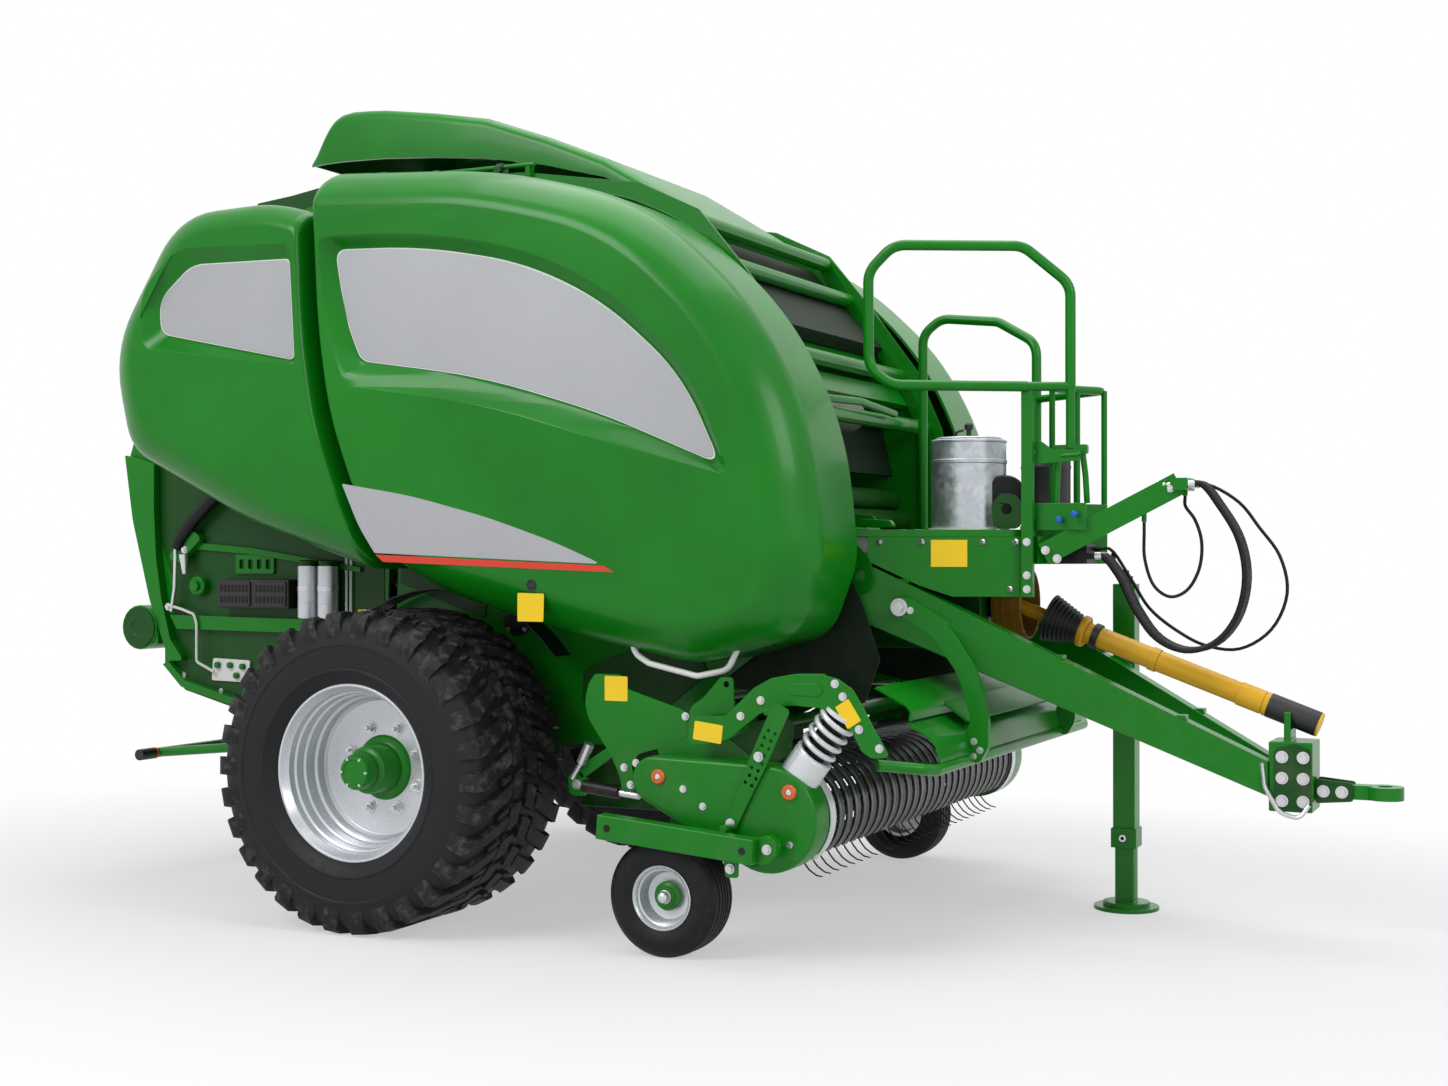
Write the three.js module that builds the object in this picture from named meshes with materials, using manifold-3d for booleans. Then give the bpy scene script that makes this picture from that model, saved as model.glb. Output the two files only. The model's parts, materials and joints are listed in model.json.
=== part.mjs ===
// Round baler, parked on its wheels and jack, in millimetres.
// +X points to the towing eye, +Y to the machine's left, +Z up, Z = 0 is the ground.
// Pieces are drawn with X = 0 at the wheel axle; the outer group then centres the machine in X.

import * as THREE from 'three';
import { mergeVertices } from 'three/addons/utils/BufferGeometryUtils.js';
import Module from 'manifold-3d';

const wasm = await Module();
wasm.setup();

// ---- Driving dimensions -------------------------------------------------------------------

const seat = 0.3;                 // gap between pieces that touch
const pinGap = 0.5;               // gap around a pin or a sliding leg
const moveGap = 6;                // gap beside a piece that moves past another

const tyreRadius = 585;
const tyreWidth = 600;
const rimRadius = 305;
const discInset = 250;            // wheel disc, inboard of the tyre's outer face
const hubRadius = 88;
const hubNose = 190;              // hub cap, outboard of the wheel disc
const hubDepth = 130;

const wallY = 640;                // outer face of a chamber side wall
const wallGauge = 12;
const tyreInset = 160;            // chamber wall to tyre
const shellWall = 8;              // thickness of doors and tailgate panels
const hoodWall = 20;
const doorOverhang = 515;         // door skin outboard of the chamber wall
const chamberX = -380;
const chamberZ = 1780;
const beltRadius = 1010;
const beltGauge = 8;
const beltGap = 24;
const rollerRadius = 65;
const rollerGap = 0.8;            // at a corner of the belt's polygon

const eyeZ = 544;                 // towing eye
const eyeRadius = 63;
const eyeBore = 25;
const headX = 3020;               // rear face of the hitch head
const headLength = 150;
const eyeReach = 382;             // rear face of the hitch head to the towing eye's centre
const drawbarRootX = 1560;
const drawbarRootZ = 1287;
const drawbarHeadZ = 584;
const drawbarRootY = 566;         // outer face at the root
const drawbarHeadY = 100;         // outer face at the head
const drawbarGauge = 80;
const drawbarRootHeight = 226;
const drawbarHeadHeight = 123;

const deckZ = 1440;               // underside of the loading deck
const deckGauge = 25;
const kerbDrop = 100;             // edge plates, below the deck's underside
const kerbRise = 120;
const railZ = 1980;
const loopZ = 2487;
const railRadius = 19;

const reelX = 1566;
const reelZ = 488;
const bandRadius = 180;
const bandGauge = 4;
const bandPitch = 75;
const bandWidth = 46;
const pickupY = 1048;             // inner face of a pickup end plate
const bandCount = 1 + Math.floor((2 * (pickupY - seat) - bandWidth) / bandPitch);
const tineRadius = 245;
const tineGauge = 6;
const tineRows = 5;
const gaugeRadius = 206;
const gaugeWidth = 165;
const gaugeX = 1198;

const jackX = 2405;
const jackTube = 85;
const jackWall = 6;
const jackFootRadius = 125;

const standZ = 2800;              // cross tube that carries the hood
const frameZ = 650;               // underside of the chassis frame
const frameTop = frameZ + 110;
const frameRear = -330;
const plainTyreRadius = 585;      // tyre that the body heights are drawn for
const bodyRise = 2 * (tyreRadius - plainTyreRadius);
const groundZ = -bodyRise;        // ground, seen from the body

const doorHingeZ = 2885;
const doorHingeInset = 18;
const doorPinRadius = 9;
const tailgatePivot = [-400, 2870];
const pivotRadius = 24;
const pickupPivot = [1050, 850];
const guardPivot = [1820, 1187];
const shaftPivot = [2060, 1190];
const shaftReach = 165;           // rear face of the hitch head to the shaft's front end
const shaftEndZ = 772;
const shaftRadius = 40;
const shaftEndRadius = 44;
const shaftEndLength = 200;
const yokeRadius = 38;

// ---- Values worked out from them ----------------------------------------------------------

const wallInner = wallY - wallGauge;
const wheelY = wallY + tyreInset + tyreWidth / 2;
const discY = tyreWidth / 2 - discInset;
const tailgateY = wallY + moveGap;
const panelY = tailgateY + wallGauge + seat;
const doorY = wallY + 5 * moveGap;
const skinY = wallY + doorOverhang;
const guardArmY = drawbarRootY - 10;
const gaugeY = pickupY + 8 + 14 + gaugeWidth / 2;
const eyeX = headX + eyeReach;
const cradleX = headX + 60;
const shaftRun = headX + shaftReach - shaftPivot[0];
const shaftSlope = Math.atan2(shaftPivot[1] - shaftEndZ, shaftRun);
const shaftLength = shaftRun / Math.cos(shaftSlope);
const drawbarRun = headX - drawbarRootX;
const drawbarFall = (drawbarHeadZ - drawbarRootZ) / drawbarRun;
const drawbarTaper = (drawbarHeadY - drawbarRootY) / drawbarRun;

/** Height of the drawbar's top edge at X. */
function drawbarTop(x) {
  const t = (x - drawbarRootX) / drawbarRun;
  const height = THREE.MathUtils.lerp(drawbarRootHeight, drawbarHeadHeight, t);
  return drawbarRootZ + drawbarFall * (x - drawbarRootX) + height / 2;
}

// ---- Finishes -----------------------------------------------------------------------------

function finish(color, roughness, metalness) {
  return () => new THREE.MeshStandardMaterial({ color, roughness, metalness });
}

const greenPaint = finish(0x2d822d, 0.35, 0.1);
const darkPaint = finish(0x12600e, 0.5, 0.1);
const silverPaint = finish(0xb0b4b9, 0.35, 0.4);
const blackPaint = finish(0x1a1a1a, 0.6, 0.1);
const galvanised = finish(0xaab2ba, 0.4, 0.8);
const yellowPlastic = finish(0xc8a014, 0.45, 0);
const blackRubber = finish(0x161616, 0.85, 0);
const tyreRubber = finish(0x1c1c1c, 0.9, 0);

// ---- Solids -------------------------------------------------------------------------------

/** Closed geometry with position only, its faces turned outward. */
function solid(geometry) {
  const bare = geometry.clone();
  bare.deleteAttribute('normal');
  bare.deleteAttribute('uv');
  bare.deleteAttribute('uv1');
  const merged = mergeVertices(bare, 1e-3);
  const index = Array.from(merged.index.array);
  const kept = [];
  for (let i = 0; i < index.length; i += 3) {
    const [a, b, c] = index.slice(i, i + 3);
    if (a !== b && b !== c && c !== a) kept.push(a, b, c);
  }
  merged.setIndex(kept);
  if (volume(merged) < 0) flip(merged);
  return merged;
}

function volume(geometry) {
  const p = geometry.attributes.position;
  const index = geometry.index.array;
  const [a, b, c] = [new THREE.Vector3(), new THREE.Vector3(), new THREE.Vector3()];
  let sum = 0;
  for (let i = 0; i < index.length; i += 3) {
    a.fromBufferAttribute(p, index[i]);
    b.fromBufferAttribute(p, index[i + 1]);
    c.fromBufferAttribute(p, index[i + 2]);
    sum += a.dot(b.cross(c));
  }
  return sum / 6;
}

function flip(geometry) {
  const index = geometry.index.array;
  for (let i = 0; i < index.length; i += 3) {
    [index[i + 1], index[i + 2]] = [index[i + 2], index[i + 1]];
  }
}

function toManifold(geometry) {
  const ready = solid(geometry);
  return new wasm.Manifold(new wasm.Mesh({
    numProp: 3,
    vertProperties: new Float32Array(ready.attributes.position.array),
    triVerts: new Uint32Array(ready.index.array),
  }));
}

function fromManifold(body) {
  const mesh = body.getMesh();
  const geometry = new THREE.BufferGeometry();
  geometry.setAttribute('position', new THREE.BufferAttribute(new Float32Array(mesh.vertProperties), 3));
  geometry.setIndex(new THREE.BufferAttribute(new Uint32Array(mesh.triVerts), 1));
  return geometry;
}

function join(...geometries) {
  return fromManifold(geometries.map(toManifold).reduce((sum, next) => sum.add(next)));
}

function cut(geometry, ...tools) {
  return fromManifold(tools.map(toManifold).reduce((rest, tool) => rest.subtract(tool), toManifold(geometry)));
}

/** Box between two corners. */
function box(x0, x1, y0, y1, z0, z1) {
  return new THREE.BoxGeometry(x1 - x0, y1 - y0, z1 - z0)
    .translate((x0 + x1) / 2, (y0 + y1) / 2, (z0 + z1) / 2);
}

/** Round bar between two points. */
function rod(from, to, radius, sides = 12, endRadius = radius) {
  const a = new THREE.Vector3(...from);
  const b = new THREE.Vector3(...to);
  const turn = new THREE.Quaternion().setFromUnitVectors(
    new THREE.Vector3(0, 1, 0), b.clone().sub(a).normalize());
  return new THREE.CylinderGeometry(endRadius, radius, a.distanceTo(b), sides)
    .applyQuaternion(turn)
    .translate(...a.add(b).multiplyScalar(0.5).toArray());
}

/** Path through its corners, one step from each corner to the next. */
class Corners extends THREE.Curve {
  constructor(points) {
    super();
    this.points = points.map((point) => new THREE.Vector3(...point));
  }

  getPointAt(u) {
    const spot = u * (this.points.length - 1);
    const i = Math.min(Math.floor(spot), this.points.length - 2);
    return this.points[i].clone().lerp(this.points[i + 1], spot - i);
  }

  getTangentAt(u) {
    const i = Math.round(u * (this.points.length - 1));
    const [before, here] = [this.points[Math.max(i - 1, 0)], this.points[i]];
    const after = this.points[Math.min(i + 1, this.points.length - 1)];
    const turn = here.clone().sub(before).normalize().add(after.clone().sub(here).normalize());
    return turn.normalize();
  }
}

function roundSection(radius, sides) {
  const section = new THREE.Shape();
  for (let i = 0; i < sides; i += 1) {
    const angle = (i / sides) * 2 * Math.PI;
    const [x, y] = [radius * Math.cos(angle), radius * Math.sin(angle)];
    if (i === 0) section.moveTo(x, y);
    else section.lineTo(x, y);
  }
  return section;
}

/** Bent tube through corner points. */
function bentTube(points, radius, sides = 8) {
  return new THREE.ExtrudeGeometry(roundSection(radius, sides), {
    steps: points.length - 1, extrudePath: new Corners(points), bevelEnabled: false,
  });
}

/** Rectangular bar between two points of the XZ plane, width along Y. */
function strut(from, to, y0, y1, height) {
  const [dx, dz] = [to[0] - from[0], to[1] - from[1]];
  return new THREE.BoxGeometry(Math.hypot(dx, dz), y1 - y0, height)
    .rotateY(-Math.atan2(dz, dx))
    .translate((from[0] + to[0]) / 2, (y0 + y1) / 2, (from[1] + to[1]) / 2);
}

function outline(points) {
  return new THREE.Shape(points.map(([a, b]) => new THREE.Vector2(a, b)));
}

/** Plate with an outline of [X, Z] points, from y0 to y1. */
function plateXZ(points, y0, y1, options = {}) {
  const shape = points instanceof THREE.Shape ? points : outline(points);
  return new THREE.ExtrudeGeometry(shape, { depth: y1 - y0, bevelEnabled: false, ...options })
    .rotateX(Math.PI / 2)
    .translate(0, y1, 0);
}

/** Plate with an outline of [X, Y] points, from z0 to z1. */
function plateXY(points, z0, z1) {
  return new THREE.ExtrudeGeometry(outline(points), { depth: z1 - z0, bevelEnabled: false })
    .translate(0, 0, z0);
}

/** Band of an arc around [x, z], angles in degrees from +X towards +Z. */
function arcBand(x, z, inner, outer, start, end, y0, y1, segments) {
  const shape = new THREE.Shape();
  const [a, b] = [start, end].map(THREE.MathUtils.degToRad);
  shape.absarc(x, z, outer, a, b, false);
  shape.absarc(x, z, inner, b, a, true);
  return plateXZ(shape, y0, y1, { curveSegments: segments });
}

/** Solid of revolution about a line along Y, profile of [radius, y] points closed on itself. */
function turned(profile, segments, side = 1) {
  const points = [...profile, profile[0]].map(([r, y]) => new THREE.Vector2(r, y * side));
  return new THREE.LatheGeometry(points, segments);
}

/** Same geometry on the other side of the machine. */
function mirrored(geometry) {
  return solid(geometry.clone().scale(1, -1, 1));
}

/** Piece on the machine's side: drawn for the left, mirrored to the right. */
function onSide(geometry, side) {
  return side > 0 ? geometry : mirrored(geometry);
}

// ---- Scene --------------------------------------------------------------------------------

const machine = new THREE.Group();
const axleFrame = new THREE.Group();
const body = new THREE.Group();
machine.add(axleFrame);
axleFrame.add(body);
body.position.z = bodyRise;

function add(name, geometry, material, parent = body) {
  const mesh = new THREE.Mesh(solid(geometry), material());
  mesh.name = name;
  parent.add(mesh);
  return mesh;
}

const sides = [['right', -1], ['left', 1]];

// ---- Running gear -------------------------------------------------------------------------

function tyreProfile() {
  const half = tyreWidth / 2;
  const bead = rimRadius + seat;
  return [
    [bead, -half * 0.78], [bead + 70, -half * 0.97], [bead + 170, -half], [tyreRadius - 35, -half * 0.96],
    [tyreRadius, -half * 0.86], [tyreRadius, half * 0.86], [tyreRadius - 35, half * 0.96],
    [bead + 170, half], [bead + 70, half * 0.97], [bead, half * 0.78],
  ];
}

function rimProfile() {
  const half = tyreWidth * 0.39 - 1;
  const bore = hubRadius - 10;
  return [
    [rimRadius - 4, half], [rimRadius, -half], [rimRadius - 16, -half], [rimRadius - 26, discY - 16],
    [bore, discY - 16], [bore, discY], [rimRadius - 60, discY], [rimRadius - 36, discY + 70],
    [rimRadius - 20, half],
  ];
}

function hubProfile() {
  const flange = hubRadius + 72;
  return [
    [0, discY - hubDepth], [hubRadius, discY - hubDepth], [hubRadius, discY - 50], [flange, discY - 50],
    [flange, discY - 10], [hubRadius, discY - 10], [hubRadius, discY + hubNose * 0.6],
    [hubRadius - 24, discY + hubNose * 0.7], [hubRadius - 24, discY + hubNose], [0, discY + hubNose],
  ];
}

for (const [name, side] of sides) {
  const wheel = new THREE.Group();
  wheel.position.set(0, side * wheelY, tyreRadius);
  axleFrame.add(wheel);
  add(`main_tyre_${name}`, turned(tyreProfile(), 36, side), tyreRubber, wheel);
  add(`main_rim_${name}`, join(turned(rimProfile(), 36, side), turned(hubProfile(), 36, side)), silverPaint, wheel);
}

function axleBeam() {
  const end = wheelY + discY - hubDepth - seat;
  const [half, top] = [50, frameZ + bodyRise - seat];
  const pieces = [box(-60, 60, -end, end, tyreRadius - half, tyreRadius + half)];
  for (const side of [-1, 1]) {
    const y = side * (wallInner - 70);
    pieces.push(box(-90, 90, y - 50, y + 50, tyreRadius, top));
  }
  return join(...pieces);
}

add('axle_beam', axleBeam(), darkPaint, axleFrame);

// ---- Chassis ------------------------------------------------------------------------------

function chassisFrame() {
  const outer = wallInner - seat;
  const [rear, front, top] = [frameRear, 780, frameTop];
  const rails = [-1, 1].map((s) => box(rear, front, ...[s * outer, s * (outer - 110)].sort((a, b) => a - b),
    frameZ, top));
  const crossings = [rear, front - 100].map((x) => box(x, x + 100, -outer + 50, outer - 50, frameZ + 10, top - 10));
  const rotorHousing = box(500, 960, -560, 560, 400, frameZ + 10);
  return join(...rails, ...crossings, rotorHousing);
}

function chamberWall(side) {
  const points = [
    [-330, frameZ], [860, frameZ], [1120, 780], [1140, 900], [1300, 1020], [1560, 1180], [1620, 1270],
    [1620, 1500], [1560, 1900], [1450, 2150], [1240, 2430], [1050, 2660], [800, 2780], [300, 2860],
    [-330, 2900], [-460, 2925], [-460, 2810], [-360, 2720], [-300, 2300], [-300, 1300],
  ];
  const [y, z] = [wallY + doorHingeInset, doorHingeZ];
  const hinge = rod([-250, y, z], [350, y, z], doorPinRadius, 12);
  const lugs = [-230, 40, 310].map((x) => box(x, x + 20, wallY - wallGauge, y + 6, z - 45, z));
  return onSide(cut(join(plateXZ(points, wallInner, wallY), hinge, ...lugs), pivotBore()), side);
}

function pivotBore() {
  const [x, z] = tailgatePivot;
  return rod([x, wallInner - 10, z], [x, tailgateY + wallGauge + 10, z], pivotRadius + pinGap, 16);
}

add('chassis_frame', chassisFrame(), darkPaint);
for (const [name, side] of sides) add(`chamber_wall_${name}`, chamberWall(side), greenPaint);

const crossBeamTop = deckZ - seat;

function frontTubes() {
  const end = wallInner - seat;
  const spots = [[1035, 2621], [1139, 2461], [1374, 2127], [1486, 1904], [1500, 1400]];
  const tubes = spots.slice(0, -1).map(([x, z]) => rod([x, -end, z], [x, end, z], 30, 12));
  const beam = box(drawbarRootX - 120, drawbarRootX, -end, end, crossBeamTop - 140, crossBeamTop);
  const strips = [-1, 1].flatMap((s) => {
    const [y0, y1] = [s * end, s * (end - 12)].sort((a, b) => a - b);
    return spots.slice(1).map((spot, i) => strut(spots[i], spot, y0, y1, 50));
  });
  return join(beam, ...tubes, ...strips);
}

add('front_frame', frontTubes(), greenPaint);

function pivotShaft() {
  const [x, z] = tailgatePivot;
  const end = tailgateY + wallGauge + 12;
  return rod([x, -end, z], [x, end, z], pivotRadius, 16);
}

add('tailgate_pivot_shaft', pivotShaft(), galvanised);

const hoodY = 480;
const hoodOuter = [[-874, 3016], [-718, 3233], [-490, 3222], [0, 3141], [551, 2930], [931, 2694],
  [900, 2690], [551, 2852], [0, 2968]];

const hoodInner = [[-846, 3010], [-709, 3213], [-490, 3202], [-4, 3121], [543, 2911], [905, 2684],
  [900, 2600], [-846, 2600]];

function hood() {
  return cut(plateXZ(hoodOuter, -hoodY, hoodY), plateXZ(hoodInner, -hoodY + hoodWall, hoodY - hoodWall));
}

add('top_hood', hood(), greenPaint);

function hoodStand() {
  const end = wallInner - seat;
  const foot = standZ;
  const y = hoodY - hoodWall - 30;
  const [x0, x1] = [30, 90];
  const [high, low] = hoodInner.slice(3, 5);
  const top = high[1] + (low[1] - high[1]) * (x1 - high[0]) / (low[0] - high[0]) - seat;
  return join(
    rod([60, -end, foot], [60, end, foot], 28, 12),
    box(x0, x1, -y, -y + 40, foot, top),
    box(x0, x1, y - 40, y, foot, top),
  );
}

add('hood_stand', hoodStand(), darkPaint);

const bellX = 2010;

function gearbox() {
  const [x, z] = [drawbarRootX + seat, shaftPivot[1]];
  return join(
    box(x, 1990, -170, 170, z - 170, z + 190),
    rod([1985, 0, z], [bellX, 0, z], 60, 16),
    rod([1985, 0, z], [shaftPivot[0] - yokeRadius - pinGap, 0, z], 30, 16),
  );
}

add('gearbox', gearbox(), darkPaint);

function gearboxBell() {
  const profile = [[40, 0], [118, 0], [134, 120], [128, 120], [112, 6], [40, 6]];
  return turned(profile, 24).rotateZ(-Math.PI / 2).translate(bellX + seat, 0, shaftPivot[1]);
}

add('gearbox_bell', gearboxBell(), yellowPlastic);

// ---- Drawbar and hitch --------------------------------------------------------------------

/** Geometry drawn along X, leaned sideways from x0 on by a slope. */
function sheared(geometry, slope, x0) {
  return geometry.applyMatrix4(new THREE.Matrix4().set(
    1, 0, 0, 0, slope, 1, 0, -slope * x0, 0, 0, 1, 0, 0, 0, 0, 1));
}

/** Left-side piece, drawn along X, laid against the drawbar's slanted side. */
function alongDrawbar(geometry) {
  return sheared(geometry, drawbarTaper, drawbarRootX);
}

function drawbarBeam(side) {
  const [r, h] = [drawbarRootHeight / 2, drawbarHeadHeight / 2];
  const points = [
    [drawbarRootX + seat, drawbarRootZ - r], [headX, drawbarHeadZ - h],
    [headX, drawbarHeadZ + h], [drawbarRootX + seat, drawbarRootZ + r],
  ];
  const beam = alongDrawbar(plateXZ(points, drawbarRootY - drawbarGauge, drawbarRootY));
  const [x, z] = guardPivot;
  const face = drawbarRootY + drawbarTaper * (x - drawbarRootX);
  return onSide(join(beam, rod([x, face - 10, z], [x, guardArmY - pinGap, z], 26, 12)), side);
}

for (const [name, side] of sides) add(`drawbar_beam_${name}`, drawbarBeam(side), greenPaint);

/** Height of the drive shaft's centre line at X. */
function shaftZ(x) {
  return shaftPivot[1] - Math.tan(shaftSlope) * (x - shaftPivot[0]);
}

const headHalf = 90;

function hitchHead() {
  const top = eyeZ + 172;
  const rest = shaftZ(cradleX + 12) - shaftEndRadius / Math.cos(shaftSlope) - pinGap;
  const inner = shaftEndRadius + moveGap;
  return join(
    box(headX + seat, headX + headLength, -headHalf, headHalf, eyeZ - 74, top),
    box(cradleX - 12, cradleX + 12, -inner - 12, inner + 12, top - 5, rest),
    box(cradleX - 12, cradleX + 12, -inner - 12, -inner, rest - 5, rest + 60),
    box(cradleX - 12, cradleX + 12, inner, inner + 12, rest - 5, rest + 60),
  );
}

add('hitch_head', hitchHead(), greenPaint);

function towingEye() {
  const shank = box(headX + headLength + seat, eyeX - eyeRadius + 20, -30, 30, eyeZ - 25, eyeZ + 25);
  const ring = rod([eyeX, 0, eyeZ - 23], [eyeX, 0, eyeZ + 23], eyeRadius, 32);
  const bore = rod([eyeX, 0, eyeZ - 40], [eyeX, 0, eyeZ + 40], eyeBore, 24);
  return cut(join(shank, ring), bore);
}

add('towing_eye', towingEye(), galvanised);

// ---- Jack ---------------------------------------------------------------------------------

const jackY = drawbarRootY + drawbarTaper * (jackX - drawbarRootX) + 26 + jackTube / 2;

function squareTube(x, y, outer, z0, z1) {
  return box(x - outer / 2, x + outer / 2, y - outer / 2, y + outer / 2, z0, z1);
}

function jackSleeve() {
  const [bottom, top] = [240, 1260];
  const bracketZ = drawbarRootZ + drawbarFall * (jackX - drawbarRootX);
  const bracket = alongDrawbar(box(jackX - 34, jackX + 34, drawbarRootY + seat, drawbarRootY + 40,
    bracketZ - 70, bracketZ + 70));
  return cut(
    join(squareTube(jackX, jackY, jackTube, bottom, top), squareTube(jackX, jackY, jackTube + 14, bottom, bottom + 76),
      bracket),
    squareTube(jackX, jackY, jackTube - 2 * jackWall, bottom - 10, top - jackWall),
  );
}

function jackLeg() {
  const inner = jackTube - 2 * jackWall - 2 * pinGap;
  return join(
    squareTube(jackX, jackY, inner, groundZ + 20, 1000),
    rod([jackX, jackY, groundZ], [jackX, jackY, groundZ + 14], jackFootRadius, 32),
    rod([jackX, jackY, groundZ + 14], [jackX, jackY, groundZ + 30], jackFootRadius - 35, 32),
  );
}

add('jack_sleeve', jackSleeve(), greenPaint);
add('jack_leg', jackLeg(), greenPaint);

// ---- Loading platform ---------------------------------------------------------------------

const deckNear = [1640, -552];
const deckCorner = [2214, -300];
const deckFront = [2424, 0];
const deckFar = [2060, 320];
const skirtFoot = 1222;

/** Upright plate along a line of the deck's edge, outside of it, with a level top. */
function edgePlate(from, to, gauge, bottom, top) {
  const a = new THREE.Vector2(...from);
  const b = new THREE.Vector2(...to);
  const along = b.clone().sub(a).normalize().multiplyScalar(gauge);
  const points = [a, b, b.clone().add({ x: -along.y, y: along.x }), a.clone().add({ x: -along.y, y: along.x })];
  return plateXY(points.map((p) => [p.x, p.y]), bottom, top);
}

function platform() {
  const deck = plateXY([[1450, -552], deckNear, deckCorner, deckFront, deckFar, [1450, 400]],
    deckZ, deckZ + deckGauge);
  const slope = (deckCorner[1] - deckNear[1]) / (deckCorner[0] - deckNear[0]);
  const clear = (x) => Math.max(skirtFoot, drawbarTop(x) + 12);
  const skirt = sheared(plateXZ([
    [1680, clear(1680)], [1850, clear(1850)], [1960, clear(1960)], [2190, skirtFoot], [2190, deckZ + 5],
    [1680, deckZ + 5],
  ], deckNear[1] + 1, deckNear[1] + 9), slope, deckNear[0]);
  const [bottom, top] = [deckZ - kerbDrop, deckZ + kerbRise];
  const front = edgePlate(deckCorner, deckFront, 8, bottom, top);
  const far = edgePlate(deckFront, deckFar, 8, bottom, top);
  return join(deck, skirt, front, far);
}

add('platform', platform(), greenPaint);

function nearHandrail() {
  const loop = bentTube([
    [deckCorner[0] + 2, deckCorner[1] - 30, railZ], [1779, -552, railZ + 10], [1700, -552, railZ + 80],
    [1690, -552, loopZ - 90], [1787, -552, loopZ], [2200, -330, loopZ], [2356, -262, loopZ - 140],
    [2356, -262, railZ],
  ], railRadius);
  const rail = bentTube([[deckCorner[0], deckCorner[1] - 30, railZ], [2362, -262, railZ]], railRadius - 2);
  const post = box(deckCorner[0] - 20, deckCorner[0] + 22, deckCorner[1] - 34, deckCorner[1] - 9, 1222, railZ);
  return join(loop, rail, post);
}

add('handrail_right', nearHandrail(), greenPaint);

const farPostShare = 0.9;
const farPostInset = 30;

function farLoop() {
  const foot = deckZ + deckGauge + seat;
  const front = onEdge(deckFront, deckFar, farPostShare, -farPostInset);
  const rear = [1570, 370];
  return bentTube([
    [...rear, foot], [...rear, 2270], [1650, 370, 2330], [1900, 330, 2300], [...front, 2200], [...front, foot],
  ], railRadius);
}

/** Point at share t of a line between two [X, Y] points, shifted outward by a distance. */
function onEdge(from, to, t, outward) {
  const a = new THREE.Vector2(...from);
  const b = new THREE.Vector2(...to);
  const along = b.clone().sub(a).normalize();
  const spot = a.lerp(b, t);
  return [spot.x + along.y * outward, spot.y - along.x * outward];
}

function guardRails() {
  const foot = deckZ + kerbRise + seat;
  const top = railZ;
  const corner = onEdge(deckCorner, deckFront, 0.97, -5);
  const first = onEdge(deckCorner, deckFront, 0.3, -5);
  const last = onEdge(deckFront, deckFar, farPostShare, -farPostInset);
  const pieces = [farLoop(), bentTube([[...first, top], [...corner, top], [...last, top]], 15)];
  const posts = [first, onEdge(deckCorner, deckFront, 0.62, -5), corner,
    onEdge(deckFront, deckFar, 0.4, -7)];
  for (const spot of posts) pieces.push(rod([...spot, foot], [...spot, top], 11, 10));
  return join(...pieces);
}

add('guard_rails', guardRails(), greenPaint);

const canisterSpot = [1950, -190];

function canister() {
  const foot = deckZ + deckGauge + seat;
  const [x, y] = canisterSpot;
  return join(
    rod([x, y, foot], [x, y, foot + 262], 138, 32),
    rod([x, y, foot + 262], [x, y, foot + 325], 143, 32),
    rod([x, y, foot + 325], [x, y, foot + 345], 90, 24),
  );
}

add('canister', canister(), galvanised);

function sideTank() {
  const foot = deckZ + deckGauge + seat;
  const [x, y] = onEdge(deckFront, deckFar, 0.5, -112);
  return join(
    rod([x, y, foot + 12], [x, y, foot + 300], 95, 24),
    rod([x, y, foot], [x, y, foot + 15], 99, 24),
  );
}

add('side_tank', sideTank(), blackPaint);

// ---- Hoses and what holds them ------------------------------------------------------------

const hoseY = [-190, -165, -140, -115];
const cableY = -88;
const hoseRadius = 11;
const cableRadius = 6;
const blockFront = 2400;
const socketFront = 2425;
const socketZ = 1370;
const cableSocketZ = 1395;

function valveBlock() {
  const back = (y) => [deckCorner[0] + (deckFront[0] - deckCorner[0]) * (y - deckCorner[1])
    / (deckFront[1] - deckCorner[1]) + 1.5 * seat, y];
  const [y0, y1] = [hoseY[0] - 16, cableY + 14];
  const block = plateXY([back(y0), [blockFront, y0], [blockFront, y1], back(y1)], socketZ - 28, socketZ + 45);
  const sockets = hoseY.map((y) => rod([blockFront - 5, y, socketZ], [socketFront, y, socketZ], 11.5, 10));
  const cableSocket = rod([blockFront - 5, cableY, cableSocketZ], [socketFront, cableY, cableSocketZ], 9, 10);
  return join(block, ...sockets, cableSocket);
}

add('valve_block', valveBlock(), blackPaint);

const armBase = [2262, -280, 1375];
const armTip = [2722, -160, 1628];
const holderFront = 2760;
const holderZ = 1625;
const innerCableX = 2740;
const innerGland = [2602, -178, 1492];

function hoseArm() {
  const base = new THREE.Vector3(...armBase);
  const tip = new THREE.Vector3(...armTip);
  const run = tip.clone().sub(base);
  const beam = new THREE.BoxGeometry(run.length(), 60, 82)
    .rotateY(-Math.asin(run.z / run.length()))
    .rotateZ(Math.atan2(run.y, run.x))
    .translate(...base.clone().add(tip).multiplyScalar(0.5).toArray());
  const holder = box(2700, holderFront, hoseY[0] - 16, cableY + 12, holderZ - 22, holderZ + 22);
  const gland = rod([innerGland[0], innerGland[1], innerGland[2]], [innerGland[0], innerGland[1], 1560], 9, 10);
  const drop = rod([innerCableX, hoseY[2], holderZ - 40], [innerCableX, hoseY[2], holderZ], 9, 10);
  const trim = edgePlate(onEdge(deckCorner, deckFront, -0.5, -200), onEdge(deckCorner, deckFront, 1.5, -200),
    -200.5, 1200, 1800);
  const root = edgePlate(onEdge(deckCorner, deckFront, 0.04, 30), onEdge(deckCorner, deckFront, 0.3, 30),
    29.4, deckZ - kerbDrop + 5, deckZ);
  return cut(join(beam, holder, gland, drop, root), trim);
}

add('hose_arm', hoseArm(), greenPaint);

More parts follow.
